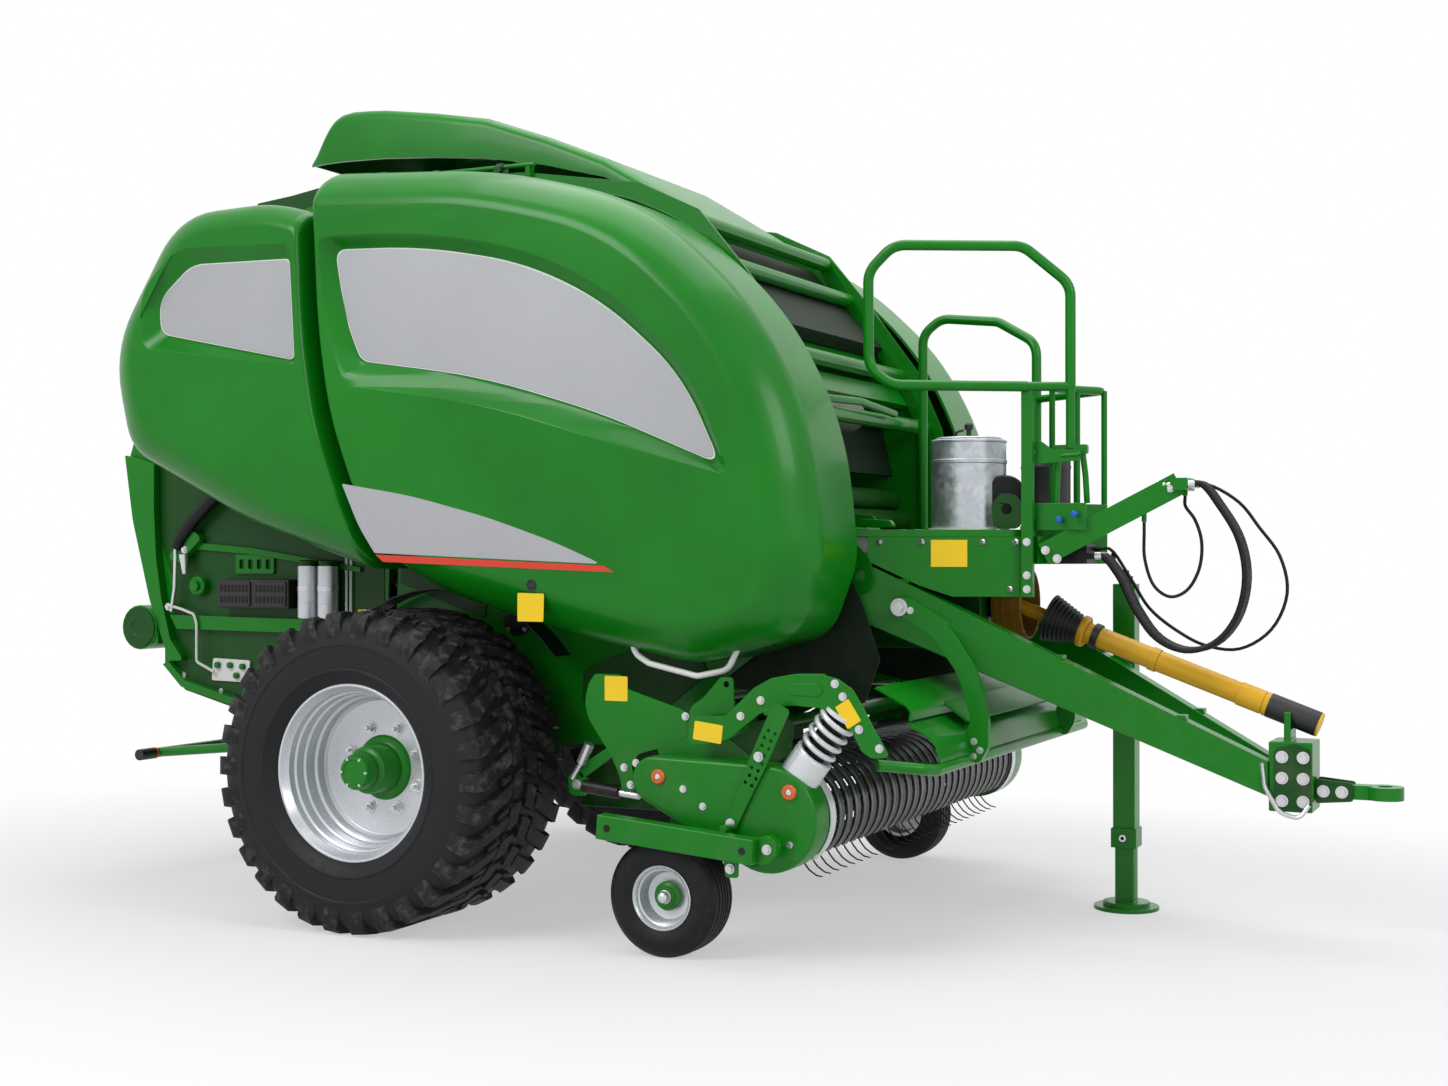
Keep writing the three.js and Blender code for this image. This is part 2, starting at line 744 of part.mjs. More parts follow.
/** Cord of a round section along points chosen by hand. */
function cord(points, radius, steps) {
  const path = new THREE.CatmullRomCurve3(points.map((p) => new THREE.Vector3(...p)), false, 'centripetal');
  return new THREE.ExtrudeGeometry(roundSection(radius, 8), { steps, extrudePath: path, bevelEnabled: false });
}

const bundle = [
  [socketFront + seat, socketZ], [2450, socketZ], [2510, 1300], [2570, 1180], [2650, 1075], [2750, 1035],
  [2850, 1062], [2925, 1150], [2958, 1290], [2935, 1430], [2870, 1545], [2805, holderZ], [holderFront + seat, holderZ],
];
hoseY.forEach((y, i) => {
  const points = bundle.map(([x, z]) => [x, y, z]);
  add(`hose_${i + 1}`, cord(points, hoseRadius, 30), blackRubber);
});

const outerCable = [
  [socketFront + seat, cableY, cableSocketZ], [2455, cableY, cableSocketZ], [2530, cableY, 1290], [2600, cableY, 1180],
  [2700, cableY, 1100], [2800, cableY, 1050], [2920, cableY, 1040], [3030, cableY, 1110], [3085, cableY, 1240],
  [3060, cableY, 1370], [2990, cableY, 1470], [2920, cableY, 1560], [2810, cableY, holderZ],
  [holderFront + seat, cableY, holderZ],
];
add('cable_outer', cord(outerCable, cableRadius, 52), blackRubber);

const innerCable = [
  [innerCableX, hoseY[2], holderZ - 40 - seat], [innerCableX, hoseY[2], holderZ - 75], [2775, -145, 1500],
  [2800, -150, 1420], [2790, -150, 1320], [2745, -150, 1245], [2690, -155, 1224], [2635, -160, 1260],
  [2602, -170, 1360], [innerGland[0], innerGland[1], innerGland[2] - 40],
  [innerGland[0], innerGland[1], innerGland[2] - seat],
];
add('cable_inner', cord(innerCable, cableRadius, 26), blackRubber);

// ---- Side doors ---------------------------------------------------------------------------

const doorOutline = [
  [-375, 2664], [-300, 1958], [-36, 1298], [672, 1124], [1231, 986], [1600, 1091], [1700, 1358],
  [1650, 1823], [1440, 2240], [1010, 2640], [400, 2800], [-375, 2850],
];

/** Left-side shell with a rounded outer edge, open towards the chamber. */
function shell(points, y0, y1, round) {
  const depth = 2 * (y1 - y0) - 2 * round;
  const bevel = { bevelEnabled: true, bevelThickness: round, bevelSize: round, bevelSegments: 3 };
  const outer = new THREE.ExtrudeGeometry(outline(points), { depth, ...bevel, bevelOffset: -round })
    .translate(0, 0, -depth / 2)
    .rotateX(Math.PI / 2)
    .translate(0, y0, 0);
  const inner = new THREE.ExtrudeGeometry(outline(points), {
    depth, ...bevel, bevelOffset: -round - shellWall,
  })
    .translate(0, 0, -depth / 2)
    .rotateX(Math.PI / 2)
    .translate(0, y0 - shellWall, 0);
  const inboard = box(-5000, 5000, y0 - 5000, y0, -500, 5000);
  return cut(outer, inner, inboard);
}

const doorHandle = [[965, 1090], [985, 1022], [1040, 990], [1231, 948], [1350, 975], [1400, 1080]];
const handleInset = 140;          // handle, inboard of the door's skin

/** Door shell with the two knuckles that turn on the chamber wall's hinge rod. */
function sideDoor(side) {
  const [y, z] = [wallY + doorHingeInset, doorHingeZ];
  const knuckles = [-120, 180].flatMap((x) => [
    box(x, x + 30, y - 8, doorY + 20, z - 75, z),
    rod([x, y, z], [x + 30, y, z], doorPinRadius + 5, 12),
  ]);
  const bore = rod([-300, y, z], [400, y, z], doorPinRadius + pinGap, 12);
  const handle = bentTube(doorHandle.map(([hx, hz]) => [hx, skinY - handleInset, hz]), 11);
  return onSide(cut(join(shell(doorOutline, doorY, skinY, 120), handle, ...knuckles), bore), side);
}

for (const [name, side] of sides) add(`side_door_${name}`, sideDoor(side), greenPaint);

// ---- Tailgate -----------------------------------------------------------------------------

function tailgateWall(side) {
  const points = [
    [-345, 2915], [-345, 2820], [-372, 2700], [-330, 2300], [-330, 1300], [-345, 900], [-420, 740],
    [-1087, 720], [-1383, 795], [-1495, 900], [-1495, 1240], [-1690, 1800], [-1560, 2150], [-1350, 2480],
    [-1000, 2730], [-620, 2830], [-470, 2915],
  ];
  return onSide(cut(plateXZ(points, tailgateY, tailgateY + wallGauge), pivotBore()), side);
}

const panelOutline = [
  [-385, 2664], [-312, 1958], [-60, 1275], [-726, 1507], [-1310, 1792], [-1406, 2198], [-1052, 2735],
  [-604, 2739],
];

for (const [name, side] of sides) {
  add(`tailgate_wall_${name}`, tailgateWall(side), greenPaint);
  add(`tailgate_panel_${name}`, onSide(shell(panelOutline, panelY, skinY - 5, 60), side), greenPaint);
}

/** Angle, in degrees from level, at which the belts' outer face reaches a height, or straight up if it doesn't. */
function beltAngle(z) {
  const rise = (z - chamberZ) / (beltRadius + beltGauge);
  return THREE.MathUtils.radToDeg(Math.asin(THREE.MathUtils.clamp(rise, -1, 1)));
}

const rearArc = [120, 180 - beltAngle(frameTop + 12)];
const frontArc = [beltAngle(frameTop + 90), beltAngle(standZ - 24)];
const arcHalfSteps = 7;
const tailgateEnd = tailgateY - seat;
const coverRadius = beltRadius + 50;
add('tailgate_cover', arcBand(chamberX, chamberZ, coverRadius, coverRadius + beltGauge, 120, 172, -tailgateEnd,
  tailgateEnd, 12), greenPaint);

/** Three belts, drawn as one sheet with two slots that stop short of its ends. */
function rearBelts() {
  const half = tailgateEnd - 10;
  const [start, end] = rearArc;
  const slots = [-1, 1].map((s) => arcBand(chamberX, chamberZ, beltRadius - 20, beltRadius + 40, start + 4, end - 4,
    s * half / 3 - beltGap / 2, s * half / 3 + beltGap / 2, arcHalfSteps));
  return cut(arcBand(chamberX, chamberZ, beltRadius, beltRadius + beltGauge, start, end, -half, half,
    arcHalfSteps), ...slots);
}

add('rear_belts', rearBelts(), blackRubber);
add('front_belt_band', arcBand(chamberX, chamberZ, beltRadius, beltRadius + beltGauge, ...frontArc,
  -wallInner + 8, wallInner - 8, arcHalfSteps), blackRubber);

function roller(angle, end) {
  const turn = THREE.MathUtils.degToRad(angle);
  const reach = beltRadius - rollerRadius - rollerGap;
  const [x, z] = [chamberX + reach * Math.cos(turn), chamberZ + reach * Math.sin(turn)];
  return rod([x, -end, z], [x, end, z], rollerRadius, 16);
}

/** Rollers between the walls, with the bearing strips at their ends. */
function rollerSet(angles, end) {
  const [inner, outer] = [beltRadius - 2 * rollerRadius + 20, beltRadius - rollerRadius + 10];
  const [first, last] = [Math.min(...angles), Math.max(...angles)];
  const strips = [-end, end - 8].map((y) => arcBand(chamberX, chamberZ, inner, outer, first, last, y, y + 8, 8));
  return join(...angles.map((angle) => roller(angle, end)), ...strips);
}

/** Angles at some of the corners of a belt's polygon. */
function corners([start, end], picks) {
  return picks.map((k) => start + (end - start) * k / (2 * arcHalfSteps));
}

const rearRollers = corners(rearArc, [1, 5, 9, 12]);
add('rear_rollers', rollerSet(rearRollers, tailgateEnd), galvanised);
const frontRollers = corners(frontArc, [2, 7, 12]);
add('front_rollers', rollerSet(frontRollers, wallInner - seat), galvanised);

function rearBeam() {
  const x = -1495 - seat;
  const [radius, z] = [95, 1060];
  const half = tailgateY + wallGauge + 50;
  return join(
    rod([x - radius, -half, z], [x - radius, half, z], radius, 20),
    box(x - radius, x, -half + 8, half - 8, z - 70, z + 70),
  );
}

add('rear_beam', rearBeam(), greenPaint);

function filterCans() {
  const y0 = tailgateY + wallGauge + seat;
  const bracket = box(-760, -540, y0, y0 + 10, 1180, 1300);
  const cans = [-695, -595].map((x) => rod([x, y0 + 50, 1110], [x, y0 + 50, 1350], 42, 16));
  return mirrored(join(bracket, ...cans));
}

add('filter_cans', filterCans(), silverPaint);
const boxY = -tailgateY - wallGauge - seat;
add('junction_box', box(-1150, -780, boxY - 70, boxY, 1150, 1270), blackPaint);

function kicker() {
  const y = wallInner - seat - 55;
  const pieces = [-1, 1].map((s) => bentTube([
    [frameRear - seat, s * y, 690], [frameRear - 60, s * y, 690], [-1100, s * y, 560], [-1600, s * y, 512],
  ], 20));
  return join(...pieces, rod([-1600, -700, 512], [-1600, 700, 512], 24, 12),
    rod([-700, -y, 628], [-700, y, 628], 26, 12));
}

add('bale_kicker', kicker(), greenPaint);

// ---- Pickup -------------------------------------------------------------------------------

function pickupFrame() {
  const [px, pz] = pickupPivot;
  const crossing = [1240, 720];
  const pieces = [
    rod([px, -wallInner + pinGap, pz], [px, wallInner - pinGap, pz], 36, 14),
    rod([crossing[0], -pickupY - 4, crossing[1]], [crossing[0], pickupY + 4, crossing[1]], 32, 14),
  ];
  for (const s of [-1, 1]) {
    const [y0, y1] = [s * 520, s * 550].sort((a, b) => a - b);
    pieces.push(strut([px, pz], crossing, y0, y1, 66));
    const [e0, e1] = [s * pickupY, s * (pickupY + 8)].sort((a, b) => a - b);
    const axleZ = groundZ + gaugeRadius;
    const ends = [[1090, 700], [1150, 560], [gaugeX - 60, axleZ], [gaugeX, axleZ - 45], [gaugeX + 60, axleZ],
      [1400, 380], [reelX, reelZ - 100], [reelX + 100, reelZ], [reelX, reelZ + 120], [1300, 790], [1200, 790]];
    pieces.push(plateXZ(ends, e0, e1));
    pieces.push(rod([gaugeX, s * (pickupY + 4), axleZ], [gaugeX, s * (gaugeY + 30), axleZ], 15, 12));
    pieces.push(rod([reelX, s * (pickupY - 6), reelZ], [reelX, s * (pickupY + 4), reelZ], 60, 16));
  }
  return join(...pieces);
}

/** Spring tine on a bar of the reel, in a gap between two bands. */
function tine(y, turn) {
  return new THREE.BoxGeometry(tineRadius - 110, tineGauge, tineGauge)
    .translate((tineRadius + 110) / 2, y, 0)
    .rotateY(-turn);
}

function reel() {
  const end = pickupY - 6 - pinGap;
  const pieces = [rod([0, -end, 0], [0, end, 0], 32, 16)];
  for (let i = 0; i < tineRows; i += 1) {
    const a = (i / tineRows) * 2 * Math.PI;
    pieces.push(rod([105 * Math.cos(a), -end + 20, 105 * Math.sin(a)],
      [105 * Math.cos(a), end - 20, 105 * Math.sin(a)], 16, 8));
  }
  for (const y of [-end + 20, -8, end - 36]) pieces.push(rod([0, y, 0], [0, y + 16, 0], 128, 20));
  for (let i = 1; i < bandCount; i += 1) {
    const y = (i - bandCount / 2) * bandPitch;
    for (let k = 0; k < tineRows; k += 1) pieces.push(tine(y, (k / tineRows) * 2 * Math.PI));
  }
  return join(...pieces).translate(reelX, 0, reelZ);
}

function bands() {
  const shape = new THREE.Shape();
  const [outer, inner] = [bandRadius, bandRadius - bandGauge];
  shape.moveTo(1160, reelZ + 150);
  shape.lineTo(1160, reelZ + 150 - bandGauge);
  shape.lineTo(reelX - 60, reelZ + inner - 8);
  shape.absarc(reelX, reelZ, inner, 1.9, -0.9, true);
  shape.absarc(reelX, reelZ, outer, -0.9, 1.9, false);
  const span = (bandCount - 1) * bandPitch + bandWidth;
  const pieces = [];
  for (let i = 0; i < bandCount; i += 1) {
    const y = -span / 2 + i * bandPitch;
    pieces.push(plateXZ(shape, y, y + bandWidth, { curveSegments: 3 }));
  }
  const end = pickupY - seat;
  pieces.push(box(1150, 1200, -end, end, reelZ + 120, reelZ + 150 - bandGauge + 1));
  return join(...pieces);
}

/** Outline around two circles of the XZ plane. */
function beltOutline([x0, z0], r0, [x1, z1], r1) {
  const tilt = Math.atan2(z1 - z0, x1 - x0);
  const lean = Math.acos((r0 - r1) / Math.hypot(x1 - x0, z1 - z0));
  const shape = new THREE.Shape();
  shape.absarc(x0, z0, r0, tilt + lean, tilt - lean + 2 * Math.PI, false);
  shape.absarc(x1, z1, r1, tilt - lean, tilt + lean, false);
  return shape;
}

const chainGuardDepth = 118;

/** Rounded chain cover with the arched side plate that stands on it. */
function chainGuard(side) {
  const y0 = pickupY + 8 + seat;
  const shape = beltOutline([1135, 600], 80, [reelX, reelZ], 181);
  const arch = [[1283, 650], [1283, 719], [1420, 830], [1560, 915], [1660, 952], [1740, 952], [1830, 870],
    [1905, 760], [1950, 660], [1925, 655], [1880, 745], [1800, 845], [1725, 905], [1670, 905], [1580, 870],
    [1450, 785], [1400, 740], [1400, 650]];
  return onSide(join(plateXZ(shape, y0, y0 + chainGuardDepth, { curveSegments: 12 }),
    plateXZ(arch, y0 + 60, y0 + 66)), side);
}

function gaugeBar(side) {
  const y0 = gaugeY + gaugeWidth / 2 + moveGap;
  const guardY = pickupY + chainGuardDepth;
  return onSide(join(
    strut([980, 445], [1560, 380], y0, y0 + 60, 85),
    box(1480, 1560, guardY, y0 + 5, 352, 430),
  ), side);
}

function gaugeTyre(side) {
  const [half, bore] = [gaugeWidth / 2, 100];
  const [flank, shoulder] = [gaugeRadius - 56, gaugeRadius - 16];
  const profile = [[bore, -half * 0.7], [flank, -half], [shoulder, -half * 0.95], [gaugeRadius, -half * 0.7],
    [gaugeRadius, half * 0.7], [shoulder, half * 0.95], [flank, half], [bore, half * 0.7]];
  return turned(profile, 20, side);
}

function gaugeRim(side) {
  const half = gaugeWidth / 2;
  const bore = 15 + pinGap;
  const profile = [[bore, -half * 0.6], [40, -half * 0.6], [40, -10], [90, -10], [90, -half * 0.66], [103.7, -half * 0.66],
    [103.7, half * 0.66], [90, half * 0.66], [90, 4], [40, 4], [40, half * 0.5], [bore, half * 0.5]];
  return turned(profile, 20, side);
}

add('pickup_frame', pickupFrame(), greenPaint);
add('tine_reel', reel(), galvanised);
add('stripper_bands', bands(), galvanised);
for (const [name, side] of sides) {
  add(`pickup_guard_${name}`, join(chainGuard(side), gaugeBar(side)), greenPaint);
  const wheel = new THREE.Group();
  wheel.position.set(gaugeX, side * gaugeY, groundZ + gaugeRadius);
  body.add(wheel);
  add(`gauge_wheel_${name}`, join(gaugeTyre(side), gaugeRim(side)), tyreRubber, wheel);
}

// ---- Crop guard ---------------------------------------------------------------------------

function guardArm(side) {
  const points = [[1785, 1160], [1790, 1215], [1850, 1222], [1990, 1140], [2110, 960], [2150, 800], [2150, 700],
    [2120, 648], [2070, 640], [2060, 700], [2085, 800], [2040, 950], [1950, 1080], [1840, 1150]];
  return onSide(plateXZ(points, guardArmY, guardArmY + 28), side);
}

function guardBar() {
  return bentTube([[1934, -1100, 682], [2060, -1010, 665], [2080, -940, 655], [2080, 940, 655],
    [2060, 1010, 665], [1934, 1100, 682]], 20);
}

function guardPlate() {
  return plateXZ([[1900, 900], [1908, 904], [2075, 780], [2096, 660], [2088, 660], [2066, 774]],
    -guardArmY - 5, guardArmY + 5);
}

add('crop_guard', join(guardArm(1), guardArm(-1), guardBar(), guardPlate()), greenPaint);

// ---- Drive shaft --------------------------------------------------------------------------

function onShaft(geometry) {
  return geometry.rotateZ(-Math.PI / 2).rotateY(shaftSlope).translate(shaftPivot[0], 0, shaftPivot[1]);
}

const shaftTube = join(new THREE.SphereGeometry(yokeRadius, 16, 10), rod([0, 0, 0], [0, 150, 0], 26, 16),
  rod([0, 140, 0], [0, shaftLength - shaftEndLength, 0], shaftRadius, 20),
  rod([0, shaftLength - shaftEndLength - 5, 0], [0, shaftLength, 0], shaftEndRadius, 16));
add('drive_shaft', onShaft(shaftTube), yellowPlastic);
add('drive_shaft_cone', onShaft(turned([[shaftRadius + 1, 150], [92, 150], [92, 200], [58, 280],
  [shaftRadius + 1, 280]], 24)), blackRubber);

// ---- Placing the whole machine ------------------------------------------------------------

const rearX = -1690;
const frontX = eyeX + eyeRadius;
axleFrame.position.x = -(rearX + frontX) / 2;

export default machine;
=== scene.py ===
"""Round baler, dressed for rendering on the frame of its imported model."""

import json
import logging
import math
from dataclasses import dataclass
from enum import Enum
from functools import lru_cache
from typing import Any, Callable, Sequence

import bmesh
import bpy
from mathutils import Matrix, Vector
from mathutils.geometry import tessellate_polygon


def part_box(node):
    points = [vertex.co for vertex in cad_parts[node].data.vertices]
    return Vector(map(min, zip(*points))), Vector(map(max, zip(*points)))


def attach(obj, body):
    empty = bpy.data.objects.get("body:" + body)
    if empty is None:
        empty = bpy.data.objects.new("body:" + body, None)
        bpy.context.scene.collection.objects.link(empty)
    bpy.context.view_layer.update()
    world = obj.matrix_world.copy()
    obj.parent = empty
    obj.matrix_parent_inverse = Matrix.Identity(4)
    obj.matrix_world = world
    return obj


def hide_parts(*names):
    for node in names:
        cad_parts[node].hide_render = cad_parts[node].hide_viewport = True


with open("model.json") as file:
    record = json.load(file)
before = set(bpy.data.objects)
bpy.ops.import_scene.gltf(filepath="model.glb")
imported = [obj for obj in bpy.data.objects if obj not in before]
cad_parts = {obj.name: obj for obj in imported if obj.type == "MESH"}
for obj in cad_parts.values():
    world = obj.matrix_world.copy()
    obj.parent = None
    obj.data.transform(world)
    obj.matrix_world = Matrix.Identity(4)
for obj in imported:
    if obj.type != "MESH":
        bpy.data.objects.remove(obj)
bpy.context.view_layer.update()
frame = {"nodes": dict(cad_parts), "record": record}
log = logging.getLogger("baler")

MM = 0.001
AXLE_X = (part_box("main_tyre_right")[0].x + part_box("main_tyre_right")[1].x) / 2
SIDES = (("right", -1), ("left", 1))
SHARP = math.radians(32)    # faces that turn by more than this meet in an edge

Point2 = tuple[float, float]


class Slot(Enum):
    """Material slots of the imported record."""

    GREEN = "green_paint"
    DARK = "dark_green_paint"
    SILVER = "silver_paint"
    BLACK = "black_paint"
    ZINC = "galvanised"
    YELLOW = "yellow_plastic"
    RUBBER = "black_rubber"
    TYRE = "tyre_rubber"


def place(point: Sequence[float]) -> Vector:
    """Point in metres of the row frame, from millimetres whose X starts at the wheel axle."""
    return Vector((AXLE_X + point[0] * MM, point[1] * MM, point[2] * MM))


# ---- Finishes ------------------------------------------------------------------------------


class Field:
    """A number that varies over a surface, with Python's arithmetic."""

    def __init__(self, shader: "Shader", socket: bpy.types.NodeSocket) -> None:
        """Wraps a node's output socket."""
        self.shader = shader
        self.socket = socket

    def math(self, operation: str, *others: Any, clamp: bool = False) -> "Field":
        """Math node on this field.

        Args:
            operation: The node's operation.
            others: Further fields or numbers.
            clamp: Whether the result stays between 0 and 1.

        Returns:
            The node's result.
        """
        settings = {"operation": operation, "use_clamp": clamp}
        node = self.shader.node("ShaderNodeMath", settings, dict(enumerate((self, *others))))
        return Field(self.shader, node.outputs[0])

    def __add__(self, other: Any) -> "Field":
        """Sum."""
        return self.math("ADD", other)

    def __sub__(self, other: Any) -> "Field":
        """Difference."""
        return self.math("SUBTRACT", other)

    def __rsub__(self, other: Any) -> "Field":
        """Difference from a number."""
        return self.math("MULTIPLY", -1.0).math("ADD", other)

    def __mul__(self, other: Any) -> "Field":
        """Product."""
        return self.math("MULTIPLY", other)

    __radd__ = __add__
    __rmul__ = __mul__

    def step(self, low: float, high: float) -> "Field":
        """Smooth change from 0 at low to 1 at high."""
        node = self.shader.node("ShaderNodeMapRange", {"interpolation_type": "SMOOTHSTEP"},
                                {"Value": self, "From Min": low, "From Max": high})
        return Field(self.shader, node.outputs["Result"])


class Shader:
    """Node tree of one material on object coordinates."""

    def __init__(self, name: str) -> None:
        """Starts an empty tree.

        Args:
            name: The material's name.
        """
        self.material = bpy.data.materials.new(name)
        self.material.use_nodes = True
        self.tree = self.material.node_tree
        self.tree.nodes.clear()
        self.spot = self.node("ShaderNodeTexCoord").outputs["Object"]

    def node(self, kind: str, settings: dict | None = None, sockets: dict | None = None) -> bpy.types.Node:
        """Adds a node.

        Args:
            kind: The node's type.
            settings: Its properties, set first.
            sockets: Values or links of its input sockets, by name or number.

        Returns:
            The node.
        """
        made = self.tree.nodes.new(kind)
        for key, value in (settings or {}).items():
            setattr(made, key, value)
        for key, value in (sockets or {}).items():
            if isinstance(value, Field):
                value = value.socket
            if isinstance(value, bpy.types.NodeSocket):
                self.tree.links.new(value, made.inputs[key])
            else:
                made.inputs[key].default_value = value
        return made

    def stretched(self, scale: Sequence[float]) -> bpy.types.NodeSocket:
        """Object coordinates multiplied on each axis."""
        node = self.node("ShaderNodeVectorMath", {"operation": "MULTIPLY"}, {0: self.spot, 1: scale})
        return node.outputs[0]

    def noise(self, scale: float, detail: float = 3.0, stretch: Sequence[float] = (1, 1, 1)) -> Field:
        """Cloudy noise around 0.5.

        Args:
            scale: Cycles per metre.
            detail: Number of finer layers.
            stretch: Factor on each axis.

        Returns:
            The noise.
        """
        node = self.node("ShaderNodeTexNoise", None,
                         {"Vector": self.stretched(stretch), "Scale": scale, "Detail": detail, "Roughness": 0.6})
        return Field(self, node.outputs["Fac"])

    def cells(self, scale: float) -> Field:
        """One random number for each crystal of a surface."""
        node = self.node("ShaderNodeTexVoronoi", None, {"Vector": self.spot, "Scale": scale})
        apart = self.node("ShaderNodeSeparateColor", None, {"Color": node.outputs["Color"]})
        return Field(self, apart.outputs[0])

    def height(self) -> Field:
        """Height above the ground in metres."""
        return Field(self, self.node("ShaderNodeSeparateXYZ", None, {0: self.spot}).outputs["Z"])

    def mix(self, factor: Field, low: Any, high: Any) -> bpy.types.NodeSocket:
        """Colour between two colours."""
        node = self.node("ShaderNodeMix", {"data_type": "RGBA"}, {"Factor": factor})
        for key, value in (("A", low), ("B", high)):
            socket = [s for s in node.inputs if s.name == key and s.type == "RGBA"][0]
            if isinstance(value, bpy.types.NodeSocket):
                self.tree.links.new(value, socket)
            else:
                socket.default_value = value
        return [s for s in node.outputs if s.type == "RGBA"][0]

    def bump(self, height: Field, strength: float, depth: float, under: Any = None) -> bpy.types.NodeSocket:
        """Normal of a slightly uneven surface.

        Args:
            height: The unevenness.
            strength: The node's strength.
            depth: Height of the unevenness in metres.
            under: Another bump's result below this one.

        Returns:
            The normal.
        """
        sockets = {"Height": height, "Strength": strength, "Distance": depth}
        if under is not None:
            sockets["Normal"] = under
        return self.node("ShaderNodeBump", None, sockets).outputs["Normal"]

    def finish(self, sockets: dict) -> bpy.types.Material:
        """Closes the tree with its surface shader.

        Args:
            sockets: Inputs of the surface shader.

        Returns:
            The material.
        """
        surface = self.node("ShaderNodeBsdfPrincipled", None, sockets)
        self.node("ShaderNodeOutputMaterial", None, {"Surface": surface.outputs[0]})
        return self.material


Colour = tuple[float, float, float]


def rgba(colour: Colour, share: float = 1.0) -> tuple[float, float, float, float]:
    """Linear colour with alpha, from a colour as it looks, multiplied by a share."""
    linear = [c / 12.92 if c <= 0.04045 else ((c + 0.055) / 1.055) ** 2.4 for c in colour]
    return (*(min(c * share, 1.0) for c in linear), 1.0)


@dataclass(frozen=True)
class Enamel:
    """Sprayed gloss paint with a slightly wavy film and dust on what lies low."""

    name: str
    colour: Colour
    roughness: float = 0.26
    coat: float = 0.35
    dust: float = 0.25

    def build(self) -> bpy.types.Material:
        """Makes the material."""
        shader = Shader(self.name)
        patches = shader.noise(1.7, 4.0)
        tone = shader.mix(patches.step(0.3, 0.7), rgba(self.colour, 0.9), rgba(self.colour, 1.1))
        low = (1 - shader.height().step(0.15, 1.3)) * shader.noise(9.0, 6.0).step(0.42, 0.72)
        tone = shader.mix(low * self.dust, tone, rgba((0.50, 0.47, 0.40)))
        specks = shader.noise(260.0, 2.0)
        wave = shader.noise(38.0, 2.0)
        normal = shader.bump(wave, 0.10, 0.0012, shader.bump(specks, 0.06, 0.0003))
        rough = patches * 0.06 + low * (0.35 * self.dust) + (self.roughness - 0.03)
        return shader.finish({"Base Color": tone, "Roughness": rough, "Coat Weight": self.coat,
                              "Coat Roughness": 0.08, "Normal": normal, "Specular IOR Level": 0.24})


@dataclass(frozen=True)
class Metallic:
    """Silver paint with fine flakes."""

    name: str
    colour: Colour
    roughness: float = 0.34
    metal: float = 0.55

    def build(self) -> bpy.types.Material:
        """Makes the material."""
        shader = Shader(self.name)
        flakes = shader.cells(900.0)
        tone = shader.mix(flakes * 0.5 + shader.noise(3.0) * 0.5, rgba(self.colour, 0.88), rgba(self.colour, 1.1))
        normal = shader.bump(shader.noise(300.0, 2.0), 0.05, 0.0003)
        return shader.finish({"Base Color": tone, "Metallic": self.metal, "Normal": normal,
                              "Roughness": flakes * 0.08 + (self.roughness - 0.04), "Coat Weight": 0.2,
                              "Coat Roughness": 0.1})


@dataclass(frozen=True)
class Zinc:
    """Hot-dip zinc with its crystals, or plain steel with a finer grain."""

    name: str
    colour: Colour
    crystal: float = 70.0
    roughness: float = 0.38

    def build(self) -> bpy.types.Material:
        """Makes the material."""
        shader = Shader(self.name)
        crystal = shader.cells(self.crystal)
        stain = shader.noise(6.0, 5.0).step(0.35, 0.75)
        tone = shader.mix(crystal, rgba(self.colour, 0.9), rgba(self.colour, 1.08))
        tone = shader.mix(stain * 0.25, tone, rgba(self.colour, 0.6))
        normal = shader.bump(shader.noise(120.0, 3.0), 0.08, 0.0005)
        rough = crystal * 0.14 + stain * 0.12 + (self.roughness - 0.1)
        return shader.finish({"Base Color": tone, "Metallic": 0.85, "Roughness": rough, "Normal": normal})


@dataclass(frozen=True)
class Rubber:
    """Moulded rubber, dusty where it rolls."""

    name: str
    colour: Colour = (0.085, 0.085, 0.09)
    roughness: float = 0.62
    dust: float = 0.3
    grain: float = 0.18

    def build(self) -> bpy.types.Material:
        """Makes the material."""
        shader = Shader(self.name)
        scuff = shader.noise(34.0, 8.0, (1, 0.6, 1)).step(0.46, 0.74)
        cloud = shader.noise(5.0, 5.0)
        tone = shader.mix(cloud, rgba(self.colour, 0.75), rgba(self.colour, 1.35))
        tone = shader.mix(scuff * self.dust, tone, rgba((0.42, 0.41, 0.40)))
        fine = shader.noise(420.0, 3.0)
        normal = shader.bump(fine, self.grain, 0.0005, shader.bump(shader.noise(60.0, 4.0), self.grain, 0.0012))
        rough = scuff * 0.2 + cloud * 0.1 + (self.roughness - 0.05)
        return shader.finish({"Base Color": tone, "Roughness": rough, "Normal": normal, "Specular IOR Level": 0.26})


@dataclass(frozen=True)
class Moulding:
    """Moulded plastic with a fine grain and scuffs."""

    name: str
    colour: Colour
    roughness: float = 0.42
    grime: float = 0.25

    def build(self) -> bpy.types.Material:
        """Makes the material."""
        shader = Shader(self.name)
        grime = shader.noise(7.0, 6.0).step(0.48, 0.8) * self.grime
        tone = shader.mix(shader.noise(2.0), rgba(self.colour, 0.9), rgba(self.colour, 1.1))
        tone = shader.mix(grime, tone, rgba(self.colour, 0.3))
        normal = shader.bump(shader.noise(340.0, 2.0), 0.1, 0.0004)
        return shader.finish({"Base Color": tone, "Roughness": grime * 0.3 + self.roughness, "Normal": normal})


